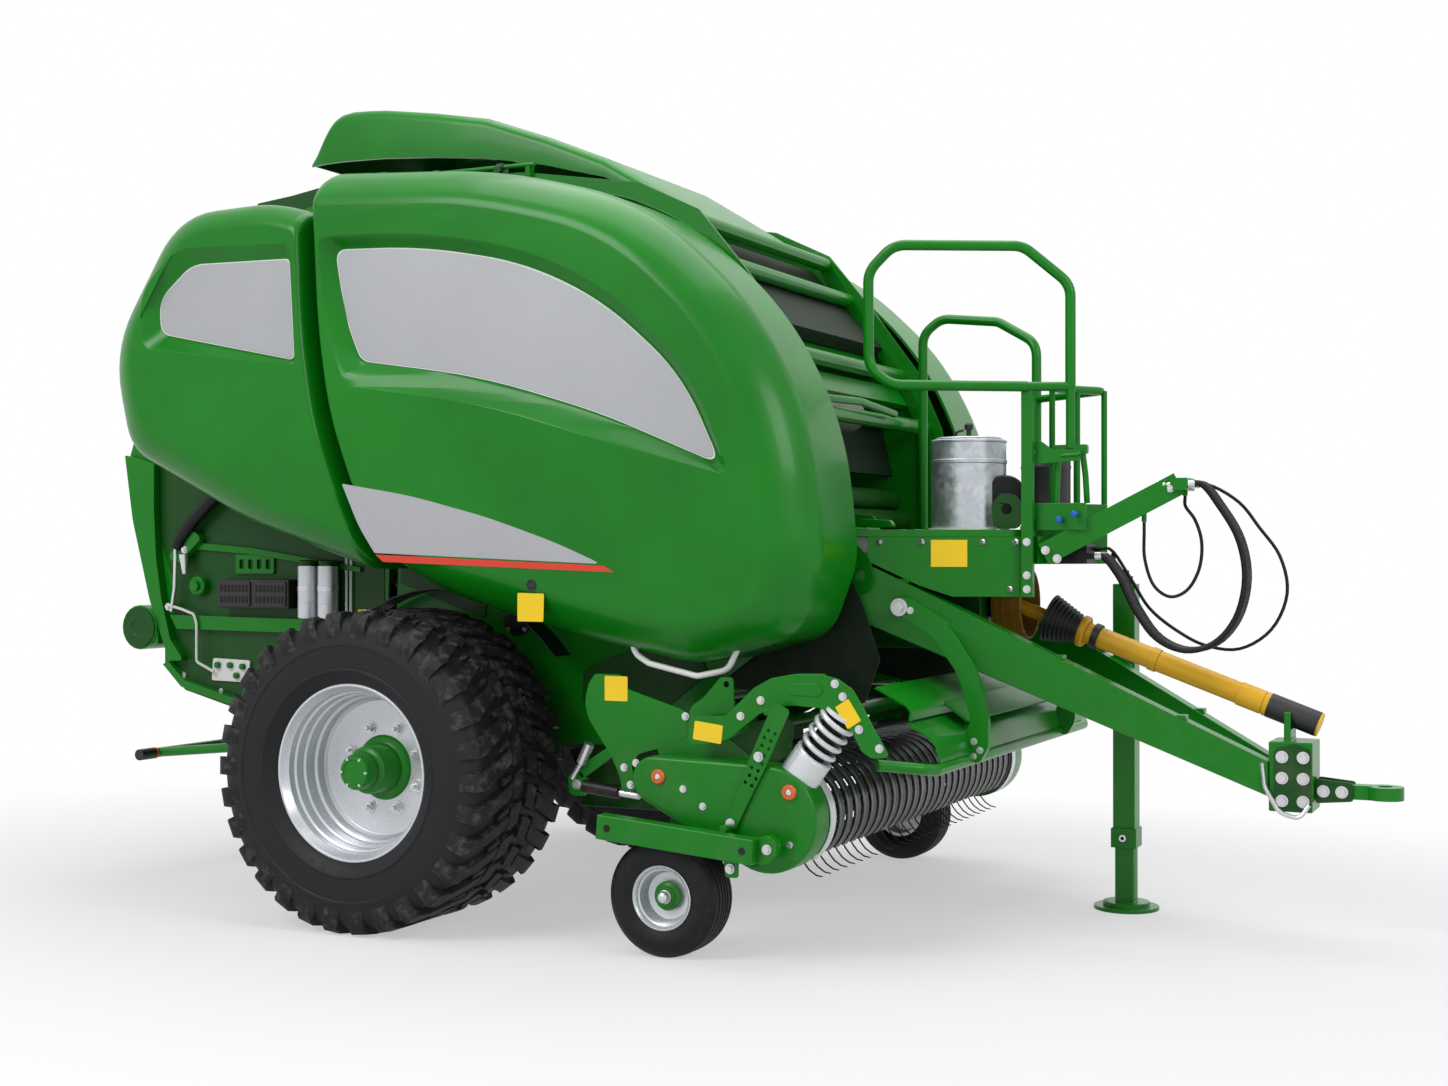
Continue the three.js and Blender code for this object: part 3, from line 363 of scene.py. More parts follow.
GREEN = Enamel("green_enamel", (0.035, 0.455, 0.06), 0.3, 0.1, 0.1)
# SHADE is the green darkened: the paint of parts that are dark green, and painted shade on green parts that lie in
# shadow.
SHADE = Enamel("dark_green_and_shade_enamel", (0.03, 0.27, 0.04), 0.42, 0.05, 0.25)
# GLOOM is painted shade: a near-black green for sheets inside the machine where shade falls.
GLOOM = Enamel("inner_green_painted_shade", (0.012, 0.10, 0.018), 0.6, 0.0, 0.3)
BLACK = Enamel("black_enamel", (0.05, 0.05, 0.055), 0.42, 0.05, 0.2)
WHITE = Enamel("white_enamel", (0.86, 0.86, 0.85), 0.3, 0.3, 0.15)
SILVER = Metallic("silver_coat", (0.66, 0.665, 0.68))
RIM = Metallic("rim_silver", (0.80, 0.81, 0.83), 0.3, 0.5)
ZINC = Zinc("zinc_coat", (0.74, 0.76, 0.78), 46.0)
STEEL = Zinc("bright_steel", (0.82, 0.82, 0.83), 400.0, 0.28)
BAND = Zinc("band_steel", (0.36, 0.36, 0.37), 30.0, 0.34)
BRIGHT = Metallic("bright_silver", (0.84, 0.85, 0.86), 0.3, 0.35)
TYRE = Rubber("tyre_rubber_worn", (0.08, 0.08, 0.085), 0.6, 0.42)
SIDEWALL = Rubber("tyre_sidewall", (0.075, 0.077, 0.084), 0.52, 0.035, 0.1)
SMALL_TYRE = Rubber("small_tyre_rubber", (0.045, 0.045, 0.048), 0.5, 0.08, 0.1)
HOSE = Rubber("hose_rubber", (0.045, 0.045, 0.05), 0.42, 0.04, 0.08)
BELT = Rubber("belt_rubber", (0.10, 0.10, 0.10), 0.7, 0.4)
# Black belt rubber darkened further as painted shade, for the belt seen deep inside the chamber.
SHADED_BELT = Rubber("shaded_belt_rubber", (0.022, 0.026, 0.022), 0.85, 0.06)
YELLOW = Moulding("yellow_guard", (0.86, 0.65, 0.05))
OCHRE = Moulding("ochre_bell", (0.52, 0.36, 0.04))
BLACK_PLASTIC = Moulding("black_moulding", (0.075, 0.075, 0.08), 0.5)
ORANGE = Moulding("orange_cap", (0.82, 0.38, 0.11), 0.4, 0.5)
BLUE = Moulding("blue_cap", (0.08, 0.35, 0.75), 0.35, 0.1)
LABEL = Moulding("yellow_sticker", (0.96, 0.80, 0.06), 0.35, 0.08)
RED = Moulding("red_stripe", (0.84, 0.22, 0.13), 0.35, 0.05)
PALE = Moulding("white_sticker", (0.88, 0.88, 0.86), 0.4, 0.1)
NET = Moulding("net_wrap", (0.5, 0.46, 0.46), 0.6)

Finish = Enamel | Metallic | Zinc | Rubber | Moulding


@lru_cache(maxsize=None)
def material(finish: Finish) -> bpy.types.Material:
    """Material of a finish, made once."""
    return finish.build()


# ---- Outlines ------------------------------------------------------------------------------


def circle(x: float, z: float, radius: float, count: int = 24) -> list[Point2]:
    """Points of a circle."""
    return [(x + radius * math.cos(2 * math.pi * i / count), z + radius * math.sin(2 * math.pi * i / count))
            for i in range(count)]


def filleted(corners: Sequence[Sequence[float]], radius: float | Sequence[float], steps: int = 6,
             closed: bool = True) -> list[tuple]:
    """Path with its corners rounded.

    Args:
        corners: Corner points of two or three numbers.
        radius: Radius of all corners or of each, made smaller where an edge is short.
        steps: Steps of each rounded corner.
        closed: Whether the path is a loop.

    Returns:
        The points of the rounded path.
    """
    points = [Vector(c) for c in corners]
    radii = [radius] * len(points) if isinstance(radius, (int, float)) else radius
    result = []
    for i, here in enumerate(points):
        if not closed and i in (0, len(points) - 1):
            result.append(tuple(here))
            continue
        back = points[i - 1] - here
        ahead = points[(i + 1) % len(points)] - here
        half = back.angle(ahead, math.pi) / 2
        reach = min(radii[i] / max(math.tan(half), 1e-3), back.length * 0.48, ahead.length * 0.48)
        start, end = here + back.normalized() * reach, here + ahead.normalized() * reach
        if reach < 0.5 or half > 1.56:
            result.append(tuple(here))
            continue
        for k in range(steps + 1):
            t = k / steps
            result.append(tuple(start * (1 - t) ** 2 + here * (2 * t * (1 - t)) + end * t * t))
    return result


def area(outline: Sequence[Point2]) -> float:
    """Signed area of an outline."""
    return sum(a[0] * b[1] - b[0] * a[1] for a, b in zip(outline, [*outline[1:], outline[0]])) / 2


def inward(outline: Sequence[Point2], distances: Sequence[float] | float) -> list[Point2]:
    """Outline with its edges moved inwards.

    Args:
        outline: The points.
        distances: How far the edge after each point moves, or one number for all.

    Returns:
        As many points as the outline has.
    """
    turn = 1 if area(outline) > 0 else -1
    count = len(outline)
    far = [float(distances)] * count if isinstance(distances, (int, float)) else list(distances)
    normals = []
    for i in range(count):
        along = (Vector(outline[(i + 1) % count]) - Vector(outline[i])).normalized()
        normals.append(Vector((-along.y, along.x)) * turn)
    moved = []
    for i, here in enumerate(outline):
        n, m, d, e = normals[i - 1], normals[i], far[i - 1], far[i]
        det = n.x * m.y - n.y * m.x
        if abs(det) < 0.06:
            shift = (n + m).normalized() * (d + e) / 2
        else:
            shift = Vector(((d * m.y - e * n.y) / det, (e * n.x - d * m.x) / det))
        moved.append((here[0] + shift.x, here[1] + shift.y))
    return moved


# ---- Shapes --------------------------------------------------------------------------------


class Form:
    """Vertices and faces of a piece being drawn, in millimetres, X from the wheel axle."""

    def __init__(self) -> None:
        """Starts empty."""
        self.points: list[Vector] = []
        self.faces: list[list[int]] = []

    def add(self, points: Sequence[Sequence[float]], faces: Sequence[Sequence[int]]) -> "Form":
        """Adds one closed shape, with its equal points merged.

        Args:
            points: The shape's points.
            faces: Numbers of each face's points.

        Returns:
            This form.
        """
        known: dict[tuple, int] = {}
        numbers = []
        for point in points:
            key = tuple(round(c, 3) for c in point)
            if key not in known:
                known[key] = len(self.points)
                self.points.append(Vector(point))
            numbers.append(known[key])
        for face in faces:
            kept: list[int] = []
            for i in face:
                if numbers[i] not in kept:
                    kept.append(numbers[i])
            if len(kept) > 2:
                self.faces.append(kept)
        return self

    def box(self, x0: float, x1: float, y0: float, y1: float, z0: float, z1: float) -> "Form":
        """Box between two corners."""
        points = [(x, y, z) for x in (x0, x1) for y in (y0, y1) for z in (z0, z1)]
        faces = [(0, 1, 3, 2), (4, 6, 7, 5), (0, 4, 5, 1), (2, 3, 7, 6), (0, 2, 6, 4), (1, 5, 7, 3)]
        return self.add(points, faces)

    def loft(self, rings: Sequence[Sequence[Sequence[float]]], closed: bool = False) -> "Form":
        """Skin over rings of as many points each.

        Args:
            rings: The rings in order.
            closed: Whether the last ring joins the first; otherwise both ends are capped.

        Returns:
            This form.
        """
        count, total = len(rings[0]), len(rings)
        faces: list[list[int]] = []
        for k in range(total if closed else total - 1):
            a, b = k * count, ((k + 1) % total) * count
            faces += [[a + i, a + (i + 1) % count, b + (i + 1) % count, b + i] for i in range(count)]
        if not closed:
            faces += [list(range(count))[::-1], [(total - 1) * count + i for i in range(count)]]
        return self.add([p for ring in rings for p in ring], faces)

    def tube(self, path: Sequence[Sequence[float]], radius: float | Sequence[float], sides: int = 14,
             bend: float = 0.0) -> "Form":
        """Round tube along a path.

        Args:
            path: Its points.
            radius: Its radius, or one for each point of an unbent path.
            sides: Sides of its section.
            bend: Radius of its bends.

        Returns:
            This form.
        """
        spine = [Vector(p) for p in (filleted(path, bend, 6, False) if bend else path)]
        angles = [2 * math.pi * k / sides for k in range(sides)]
        radii = [radius] * len(spine) if isinstance(radius, (int, float)) else radius
        rings = []
        up = None
        for i, point in enumerate(spine):
            ahead = (spine[min(i + 1, len(spine) - 1)] - point).normalized()
            behind = (point - spine[max(i - 1, 0)]).normalized()
            along = (ahead + behind).normalized()
            up = along.orthogonal().normalized() if up is None else (up - along * up.dot(along)).normalized()
            side = along.cross(up)
            rings.append([point + (up * math.cos(a) + side * math.sin(a)) * radii[i] for a in angles])
        return self.loft(rings)

    def rod(self, start: Sequence[float], end: Sequence[float], radius: float, sides: int = 24,
            tip: float | None = None) -> "Form":
        """Round bar between two points, or a cone where tip gives its end radius."""
        return self.tube([start, end], [radius, radius if tip is None else tip], sides)

    def plate(self, outline: Sequence[Point2], low: float, high: float, holes: Sequence[Sequence[Point2]] = (),
              lay: Callable[[float, float, float], Sequence[float]] | None = None) -> "Form":
        """Flat plate.

        Args:
            outline: Its outline in X and Z.
            low: Its lower Y.
            high: Its higher Y.
            holes: Outlines of its holes.
            lay: Turns two numbers of the outline and a depth into a point, for plates that lie otherwise.

        Returns:
            This form.
        """
        put = lay or (lambda a, b, depth: (a, depth, b))
        loops = [list(outline), *[list(hole) for hole in holes]]
        flat = [p for loop in loops for p in loop]
        total = len(flat)
        points = [put(a, b, low) for a, b in flat] + [put(a, b, high) for a, b in flat]
        faces: list[Sequence[int]] = []
        base = 0
        for loop in loops:
            n = len(loop)
            faces += [(base + i, base + (i + 1) % n, total + base + (i + 1) % n, total + base + i) for i in range(n)]
            base += n
        if holes:
            caps = tessellate_polygon([[Vector((a, b, 0)) for a, b in loop] for loop in loops])
        else:
            caps = [tuple(range(total))]
        faces += [tuple(cap) for cap in caps] + [tuple(total + i for i in cap) for cap in caps]
        return self.add(points, faces)

    def lathe(self, profile: Sequence[Point2], centre: Sequence[float], segments: int = 64,
              axis: Sequence[float] = (0, 1, 0)) -> "Form":
        """Solid of revolution.

        Args:
            profile: Closed profile of radius and place along the axis.
            centre: Where the axis starts.
            segments: Segments of the turn.
            axis: The axis.

        Returns:
            This form.
        """
        turn = Vector((0, 1, 0)).rotation_difference(Vector(axis))
        middle = Vector(centre)
        rings = []
        for k in range(segments):
            a = 2 * math.pi * k / segments
            rings.append([middle + turn @ Vector((r * math.cos(a), y, r * math.sin(a))) for r, y in profile])
        return self.loft(rings, closed=True)

    def mirrored(self) -> "Form":
        """Same form on the other side of the machine."""
        other = Form()
        other.points = [Vector((p.x, -p.y, p.z)) for p in self.points]
        other.faces = [face[::-1] for face in self.faces]
        return other

    def on(self, side: int) -> "Form":
        """Form drawn for the left, on the side given by 1 or -1."""
        return self if side > 0 else self.mirrored()

    def piece(self, name: str, finish: Finish, body: str, slot: Slot | None = None, bevel: float = 0.0,
              stands_for: Sequence[str] = ()) -> bpy.types.Object:
        """Puts the form in the scene, with the arguments of show."""
        return show(self.mesh(name), name, finish, body, bevel, stands_for)

    def pair(self, name: str, finish: Finish, body: str, slot: Slot | None = None, bevel: float = 0.0,
             node: str = "") -> None:
        """Puts a form drawn for the left on both sides of the machine.

        Args:
            name: The pieces' name, before each side's.
            finish: Their finish.
            body: The body that they ride on.
            slot: The record's slot, which is not used.
            bevel: Width of their bevelled edges in millimetres.
            node: Name of the CAD nodes that they replace, before each side's.
        """
        for label, side in SIDES:
            replaced = [f"{node}_{label}"] if node else ()
            self.on(side).piece(f"{name}_{label}", finish, body, slot, bevel, replaced)

    def mesh(self, name: str) -> bpy.types.Mesh:
        """Blender mesh with its faces turned outwards, smooth but at its edges."""
        mesh = bpy.data.meshes.new(name)
        mesh.from_pydata([place(p) for p in self.points], [], self.faces)
        shape = bmesh.new()
        shape.from_mesh(mesh)
        bmesh.ops.recalc_face_normals(shape, faces=shape.faces)
        shape.to_mesh(mesh)
        shape.free()
        return smooth(mesh)


def smooth(mesh: bpy.types.Mesh, angle: float = SHARP) -> bpy.types.Mesh:
    """Shades a mesh smooth, with sharp edges where its faces turn by more than an angle."""
    mesh.polygons.foreach_set("use_smooth", [True] * len(mesh.polygons))
    mesh.set_sharp_from_angle(angle=angle)
    return mesh


def show(mesh: bpy.types.Mesh, name: str, finish: Finish, body: str,
         bevel: float = 0.0, stands_for: Sequence[str] = ()) -> bpy.types.Object:
    """Puts a mesh in the scene as a piece.

    Args:
        mesh: The finished mesh.
        name: The piece's name.
        finish: Its finish.
        body: The body that it rides on.
        bevel: Width of its bevelled edges in millimetres.
        stands_for: CAD nodes that it replaces.

    Returns:
        The piece.
    """
    piece = bpy.data.objects.new(name, mesh)
    bpy.context.scene.collection.objects.link(piece)
    piece.data.materials.clear()
    piece.data.materials.append(material(finish))
    if bevel:
        rounding = piece.modifiers.new("Rounding", "BEVEL")
        rounding.width = bevel * MM
        rounding.segments = 2
        rounding.limit_method = "ANGLE"
        rounding.angle_limit = SHARP
        rounding.harden_normals = True
    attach(piece, body)
    if stands_for:
        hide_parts(*stands_for)
    log.info("%s: %d faces on %s", name, len(mesh.polygons), body)
    return piece


def body_of(node: str) -> str:
    """Body that a CAD node rides on."""
    bodies = frame["record"]["behaviour"]["bodies"]
    return next(name for name, nodes in bodies.items() if node in nodes)


def refined(node: str, finish: Finish, bevel: float = 2.0) -> bpy.types.Object:
    """Piece with a CAD node's own shape, its facets merged and its edges rounded.

    Args:
        node: The CAD node.
        finish: The piece's finish.
        bevel: Width of its bevelled edges in millimetres.

    Returns:
        The piece.
    """
    mesh = frame["nodes"][node].data.copy()
    shape = bmesh.new()
    shape.from_mesh(mesh)
    bmesh.ops.remove_doubles(shape, verts=shape.verts, dist=1e-5)
    bmesh.ops.dissolve_limit(shape, angle_limit=math.radians(0.4), verts=shape.verts, edges=shape.edges)
    shape.to_mesh(mesh)
    shape.free()
    return show(smooth(mesh), f"{node}_skin", finish, body_of(node), bevel, [node])


# ---- Repeated shapes -----------------------------------------------------------------------


class Tree:
    """Geometry Nodes tree with named inputs, which ends in real meshes of one finish."""

    def __init__(self, name: str, inputs: dict[str, str]) -> None:
        """Starts the tree.

        Args:
            name: Its name.
            inputs: Socket type of each named input.
        """
        self.group = bpy.data.node_groups.new(name, "GeometryNodeTree")
        face = self.group.interface
        face.new_socket("Geometry", in_out="INPUT", socket_type="NodeSocketGeometry")
        for key, kind in inputs.items():
            face.new_socket(key, in_out="INPUT", socket_type=kind)
        face.new_socket("Finish", in_out="INPUT", socket_type="NodeSocketMaterial")
        face.new_socket("Geometry", in_out="OUTPUT", socket_type="NodeSocketGeometry")
        self.entry = self.group.nodes.new("NodeGroupInput").outputs

    def node(self, kind: str, settings: dict | None = None, sockets: dict | None = None) -> Any:
        """Adds a node.

        Args:
            kind: The node's type.
            settings: Its properties, set first.
            sockets: Values or links of its inputs.

        Returns:
            The node's output sockets.
        """
        made = self.group.nodes.new(kind)
        for key, value in (settings or {}).items():
            setattr(made, key, value)
        for key, value in (sockets or {}).items():
            if isinstance(value, bpy.types.NodeSocket):
                self.group.links.new(value, made.inputs[key])
            else:
                made.inputs[key].default_value = value
        return made.outputs

    def close(self, geometry: bpy.types.NodeSocket) -> "Tree":
        """Ends the tree: instances made real, and the finish set."""
        real = self.node("GeometryNodeRealizeInstances", None, {"Geometry": geometry})
        done = self.node("GeometryNodeSetMaterial", None,
                         {"Geometry": real["Geometry"], "Material": self.entry["Finish"]})
        self.node("NodeGroupOutput", None, {0: done["Geometry"]})
        return self

    def apply(self, mesh: bpy.types.Mesh, finish: Finish, values: dict[str, Any]) -> bpy.types.Mesh:
        """Plain mesh that the tree makes.

        Args:
            mesh: The mesh that goes in.
            finish: The finish.
            values: The named inputs.

        Returns:
            The new mesh.
        """
        holder = bpy.data.objects.new("holder", mesh)
        bpy.context.scene.collection.objects.link(holder)
        modifier = holder.modifiers.new("Pattern", "NODES")
        modifier.node_group = self.group
        names = {s.name: s.identifier for s in self.group.interface.items_tree if s.in_out == "INPUT"}
        for key, value in {**values, "Finish": material(finish)}.items():
            modifier[names[key]] = value
        holder.update_tag()
        graph = bpy.context.evaluated_depsgraph_get()
        made = bpy.data.meshes.new_from_object(holder.evaluated_get(graph))
        bpy.data.objects.remove(holder)
        return made


@lru_cache(maxsize=None)
def row_tree() -> Tree:
    """Tree that repeats a shape with a step and a turn about a pivot."""
    tree = Tree("Row", {"Count": "NodeSocketInt", "Step": "NodeSocketVector", "Turn": "NodeSocketVector",
                        "Pivot": "NodeSocketVector"})
    one = tree.node("GeometryNodeGeometryToInstance", None, {0: tree.entry["Geometry"]})
    copies = tree.node("GeometryNodeDuplicateElements", {"domain": "INSTANCE"},
                       {"Geometry": one[0], "Amount": tree.entry["Count"]})
    shares = {}
    for key in ("Step", "Turn"):
        share = tree.node("ShaderNodeVectorMath", {"operation": "SCALE"},
                          {0: tree.entry[key], "Scale": copies["Duplicate Index"]})
        shares[key] = share[0]
    moved = tree.node("GeometryNodeTranslateInstances", None,
                      {"Instances": copies["Geometry"], "Translation": shares["Step"], "Local Space": False})
    turned = tree.node("GeometryNodeRotateInstances", None,
                       {"Instances": moved[0], "Rotation": shares["Turn"], "Pivot Point": tree.entry["Pivot"],
                        "Local Space": False})
    return tree.close(turned[0])


def repeated(form: Form, name: str, finish: Finish, body: str, count: int, step: Sequence[float] = (0, 0, 0),
             stands_for: Sequence[str] = (), turn: float = 0.0,
             pivot: Sequence[float] = (0, 0, 0)) -> bpy.types.Object:
    """Piece made of copies of a form.

    Args:
        form: The first copy.
        name: The piece's name.
        finish: Its finish.
        body: The body that it rides on.
        count: How many copies.
        step: Shift from one copy to the next in millimetres.
        stands_for: CAD nodes that it replaces.
        turn: Turn about Y from one copy to the next, in radians.
        pivot: Point that the turn goes about.

    Returns:
        The piece.
    """
    values = {"Count": count, "Step": [s * MM for s in step], "Turn": [0.0, turn, 0.0], "Pivot": place(pivot)}
    made = row_tree().apply(form.mesh(name), finish, values)
    return show(smooth(made), name, finish, body, stands_for=stands_for)


@lru_cache(maxsize=None)
def bolt_tree() -> Tree:
    """Tree that puts a hexagon head with a washer on each point, facing as the point says."""
    tree = Tree("Bolts", {"Head": "NodeSocketFloat"})
    heads = []
    for sides, across, tall in ((6, 1.0, 0.75), (20, 1.45, 0.22)):
        size, depth = [tree.node("ShaderNodeMath", {"operation": "MULTIPLY"}, {0: tree.entry["Head"], 1: f})[0]
                       for f in (across, tall)]
        shape = tree.node("GeometryNodeMeshCylinder", None,
                          {"Vertices": sides, "Radius": size, "Depth": depth})
        lift = tree.node("ShaderNodeMath", {"operation": "MULTIPLY"}, {0: depth, 1: 0.5 if sides > 6 else 0.75})
        up = tree.node("ShaderNodeCombineXYZ", None, {"Z": lift[0]})
        heads.append(tree.node("GeometryNodeTransform", None, {"Geometry": shape["Mesh"], "Translation": up[0]})[0])
    both = tree.group.nodes.new("GeometryNodeJoinGeometry")
    for head in heads:
        tree.group.links.new(head, both.inputs[0])
    facing = tree.node("GeometryNodeInputNamedAttribute", {"data_type": "FLOAT_VECTOR"}, {"Name": "facing"})
    turn = tree.node("FunctionNodeAlignRotationToVector", {"axis": "Z"}, {"Vector": facing[0]})
    points = tree.node("GeometryNodeInstanceOnPoints", None,
                       {"Points": tree.entry["Geometry"], "Instance": both.outputs[0], "Rotation": turn[0]})
    return tree.close(points[0])


def bolts(name: str, body: str, spots: Sequence[tuple[Sequence[float], Sequence[float]]], head: float = 9.0,
          finish: Finish = STEEL) -> bpy.types.Object:
    """Piece of bolt heads.

    Args:
        name: The piece's name.
        body: The body that it rides on.
        spots: Place in millimetres and outward direction of each head.
        head: Radius of a hexagon head.
        finish: The finish.

    Returns:
        The piece.
    """
    mesh = bpy.data.meshes.new(name)
    mesh.from_pydata([place(spot) for spot, _ in spots], [], [])
    facing = mesh.attributes.new("facing", "FLOAT_VECTOR", "POINT")
    facing.data.foreach_set("vector", [c for _, way in spots for c in way])
    made = bolt_tree().apply(mesh, finish, {"Head": head * MM})
    return show(smooth(made), name, finish, body)


def bolt_pair(name: str, body: str, spots: Sequence[Sequence[float]], head: float = 9.0) -> None:
    """Bolt heads that face outwards on both sides of the machine.

    Args:
        name: The pieces' name, before each side's.
        body: The body that they ride on.
        spots: Places in millimetres, on the left.
        head: Radius of a hexagon head.
    """
    for label, side in SIDES:
        bolts(f"{name}_{label}", body, [((x, side * y, z), (0, side, 0)) for x, y, z in spots], head)


@lru_cache(maxsize=None)
def coil_tree() -> Tree:
    """Tree that winds a round wire into an upright spring."""
    tree = Tree("Coil", {"Turns": "NodeSocketFloat", "Radius": "NodeSocketFloat", "Height": "NodeSocketFloat",
                         "Wire": "NodeSocketFloat", "Place": "NodeSocketVector", "Lean": "NodeSocketVector"})
    line = tree.node("GeometryNodeCurveSpiral", None,
                     {"Resolution": 20, "Rotations": tree.entry["Turns"], "Start Radius": tree.entry["Radius"],
                      "End Radius": tree.entry["Radius"], "Height": tree.entry["Height"]})
    section = tree.node("GeometryNodeCurvePrimitiveCircle", None, {"Resolution": 10, "Radius": tree.entry["Wire"]})
    wire = tree.node("GeometryNodeCurveToMesh", None,
                     {"Curve": line[0], "Profile Curve": section[0], "Fill Caps": True})
    put = tree.node("GeometryNodeTransform", None,
                    {"Geometry": wire[0], "Translation": tree.entry["Place"], "Rotation": tree.entry["Lean"]})
    return tree.close(put[0])


def coil(name: str, finish: Finish, body: str, start: Sequence[float], end: Sequence[float], radius: float,
         wire: float, turns: float) -> bpy.types.Object:
    """Coil spring between two points.

    Args:
        name: The piece's name.
        finish: Its finish.
        body: The body that it rides on.
        start: Foot of the coil in millimetres.
        end: Top of the coil.
        radius: Radius of the coil.
        wire: Radius of the wire.
        turns: Number of turns.

    Returns:
        The piece.
    """
    low, high = place(start), place(end)
    lean = Vector((0, 0, 1)).rotation_difference(high - low).to_euler()
    values = {"Turns": turns, "Radius": radius * MM, "Height": (high - low).length, "Wire": wire * MM,
              "Place": low, "Lean": lean}
    made = coil_tree().apply(bpy.data.meshes.new(name), finish, values)
    return show(smooth(made), name, finish, body)


# ---- Sub-assemblies ------------------------------------------------------------------------


class Assembly:
    """One sub-assembly, which builds its main shapes and then dresses them."""

    def build(self) -> None:
        """Makes the main shapes."""

    def dress(self) -> None:
        """Adds the fittings."""

    def make(self) -> None:
        """Builds and dresses it."""
        log.info("making %s", type(self).__name__)
        self.build()
        self.dress()


@dataclass
class Stage(Assembly):
    """Camera, lamps and floor."""

    spot: tuple[float, float, float] = (3.2985, -6.968, 1.391)
    ahead: tuple[float, float, float] = (-0.4321, 0.9018, 0.0037)
    lens: float = 47.24
    floor_size: float = 120.0

    def build(self) -> None:
        """Places the camera and lays the floor."""
        camera = bpy.data.objects.new("camera", bpy.data.cameras.new("camera"))
        camera.data.lens = self.lens
        camera.data.sensor_width = 36.0
        camera.data.clip_end = 400.0
        camera.location = self.spot
        camera.rotation_euler = Vector(self.ahead).to_track_quat("-Z", "Y").to_euler()
        bpy.context.scene.collection.objects.link(camera)
        bpy.context.scene.camera = camera
        half = self.floor_size / 2
        mesh = bpy.data.meshes.new("floor")
        mesh.from_pydata([(-half, -half, 0), (half, -half, 0), (half, half, 0), (-half, half, 0)], [], [(0, 1, 2, 3)])
        floor = bpy.data.objects.new("floor", mesh)
        bpy.context.scene.collection.objects.link(floor)
        mesh.materials.append(self.floor_finish())

    def floor_finish(self) -> bpy.types.Material:
        """Pale floor round the machine, which fades to white for what looks at it."""
        shader = Shader("pale_floor")
        apart = shader.node("ShaderNodeVectorMath", {"operation": "LENGTH"}, {0: shader.stretched((0.72, 1.1, 0))})
        fade = Field(shader, apart.outputs["Value"]).step(1.9, 4.2) * 0.52 + 0.48
        tone = shader.mix(shader.noise(0.7), (0.66, 0.66, 0.66, 1), (0.69, 0.69, 0.685, 1))
        matte = shader.node("ShaderNodeBsdfDiffuse", None, {"Color": tone})
        white = shader.node("ShaderNodeEmission", None, {"Color": (1, 1, 1, 1), "Strength": 1.0})
        path = shader.node("ShaderNodeLightPath")
        seen = Field(shader, path.outputs["Is Camera Ray"]).math("MAXIMUM",
                                                                 Field(shader, path.outputs["Is Glossy Ray"]))
        seen = seen.math("MAXIMUM", Field(shader, path.outputs["Is Transmission Ray"]))
        mixed = shader.node("ShaderNodeMixShader", None, {0: fade * seen, 1: matte.outputs[0], 2: white.outputs[0]})
        shader.node("ShaderNodeOutputMaterial", None, {"Surface": mixed.outputs[0]})
        return shader.material

    def lamp(self, name: str, spot: Sequence[float], size: float, power: float) -> None:
        """Square lamp that faces the machine.

        Args:
            name: Its name.
            spot: Its place in metres.
            size: Its side.
            power: Its power in watts.
        """
        light = bpy.data.lights.new(name, "AREA")
        light.shape, light.size, light.energy = "SQUARE", size, power
        lamp = bpy.data.objects.new(name, light)
        lamp.location = spot
        lamp.rotation_euler = (Vector((0, 0, 1.2)) - Vector(spot)).to_track_quat("-Z", "Y").to_euler()
        bpy.context.scene.collection.objects.link(lamp)

    def dress(self) -> None:
        """Lights the machine."""
        bpy.context.scene.view_settings.view_transform = "Standard"
        self.lamp("key_lamp", (-3.5, -8.5, 8.0), 5.0, 560.0)
        self.lamp("front_lamp", (9.0, -3.0, 6.0), 4.0, 260.0)
        self.lamp("top_lamp", (0.0, 1.0, 10.0), 8.0, 560.0)
        world = bpy.data.worlds.new("studio")
        world.use_nodes = True
        tree = world.node_tree
        back, path = tree.nodes["Background"], tree.nodes.new("ShaderNodeLightPath")
        white, mixed = tree.nodes.new("ShaderNodeBackground"), tree.nodes.new("ShaderNodeMixShader")
        back.inputs["Color"].default_value = (0.93, 0.96, 1.0, 1)
        back.inputs["Strength"].default_value = 0.5
        white.inputs["Color"].default_value = (1, 1, 1, 1)
        seen = path.outputs["Is Camera Ray"]
        for key in ("Is Glossy Ray", "Is Transmission Ray"):
            either = tree.nodes.new("ShaderNodeMath")
            either.operation = "MAXIMUM"
            tree.links.new(seen, either.inputs[0])
            tree.links.new(path.outputs[key], either.inputs[1])
            seen = either.outputs[0]
        tree.links.new(seen, mixed.inputs[0])
        tree.links.new(back.outputs[0], mixed.inputs[1])
        tree.links.new(white.outputs[0], mixed.inputs[2])
        tree.links.new(mixed.outputs[0], tree.nodes["World Output"].inputs["Surface"])
        bpy.context.scene.world = world


def swept(points: Sequence[Sequence[float]], steps: int) -> list[Vector]:
    """Smooth line through points, calm where their spacing changes.

    Args:
        points: The points that it goes through.
        steps: Steps between two of them.

    Returns:
        The line's points.
    """
    known = [Vector(p) for p in points]
    known = [known[0] * 2 - known[1], *known, known[-1] * 2 - known[-2]]
    line = [known[1]]
    for a, b, c, d in zip(known, known[1:], known[2:], known[3:]):
        spans = [max((q - p).length, 1e-4) ** 0.5 for p, q in ((a, b), (b, c), (c, d))]
        first, middle, last = spans
        out = ((b - a) / first - (c - a) / (first + middle) + (c - b) / middle) * middle
        into = ((c - b) / middle - (d - b) / (middle + last) + (d - c) / last) * middle
        for k in range(1, steps + 1):
            t = k / steps
            line.append(b * (2 * t**3 - 3 * t**2 + 1) + out * (t**3 - 2 * t**2 + t)
                        + c * (3 * t**2 - 2 * t**3) + into * (t**3 - t**2))
    return line


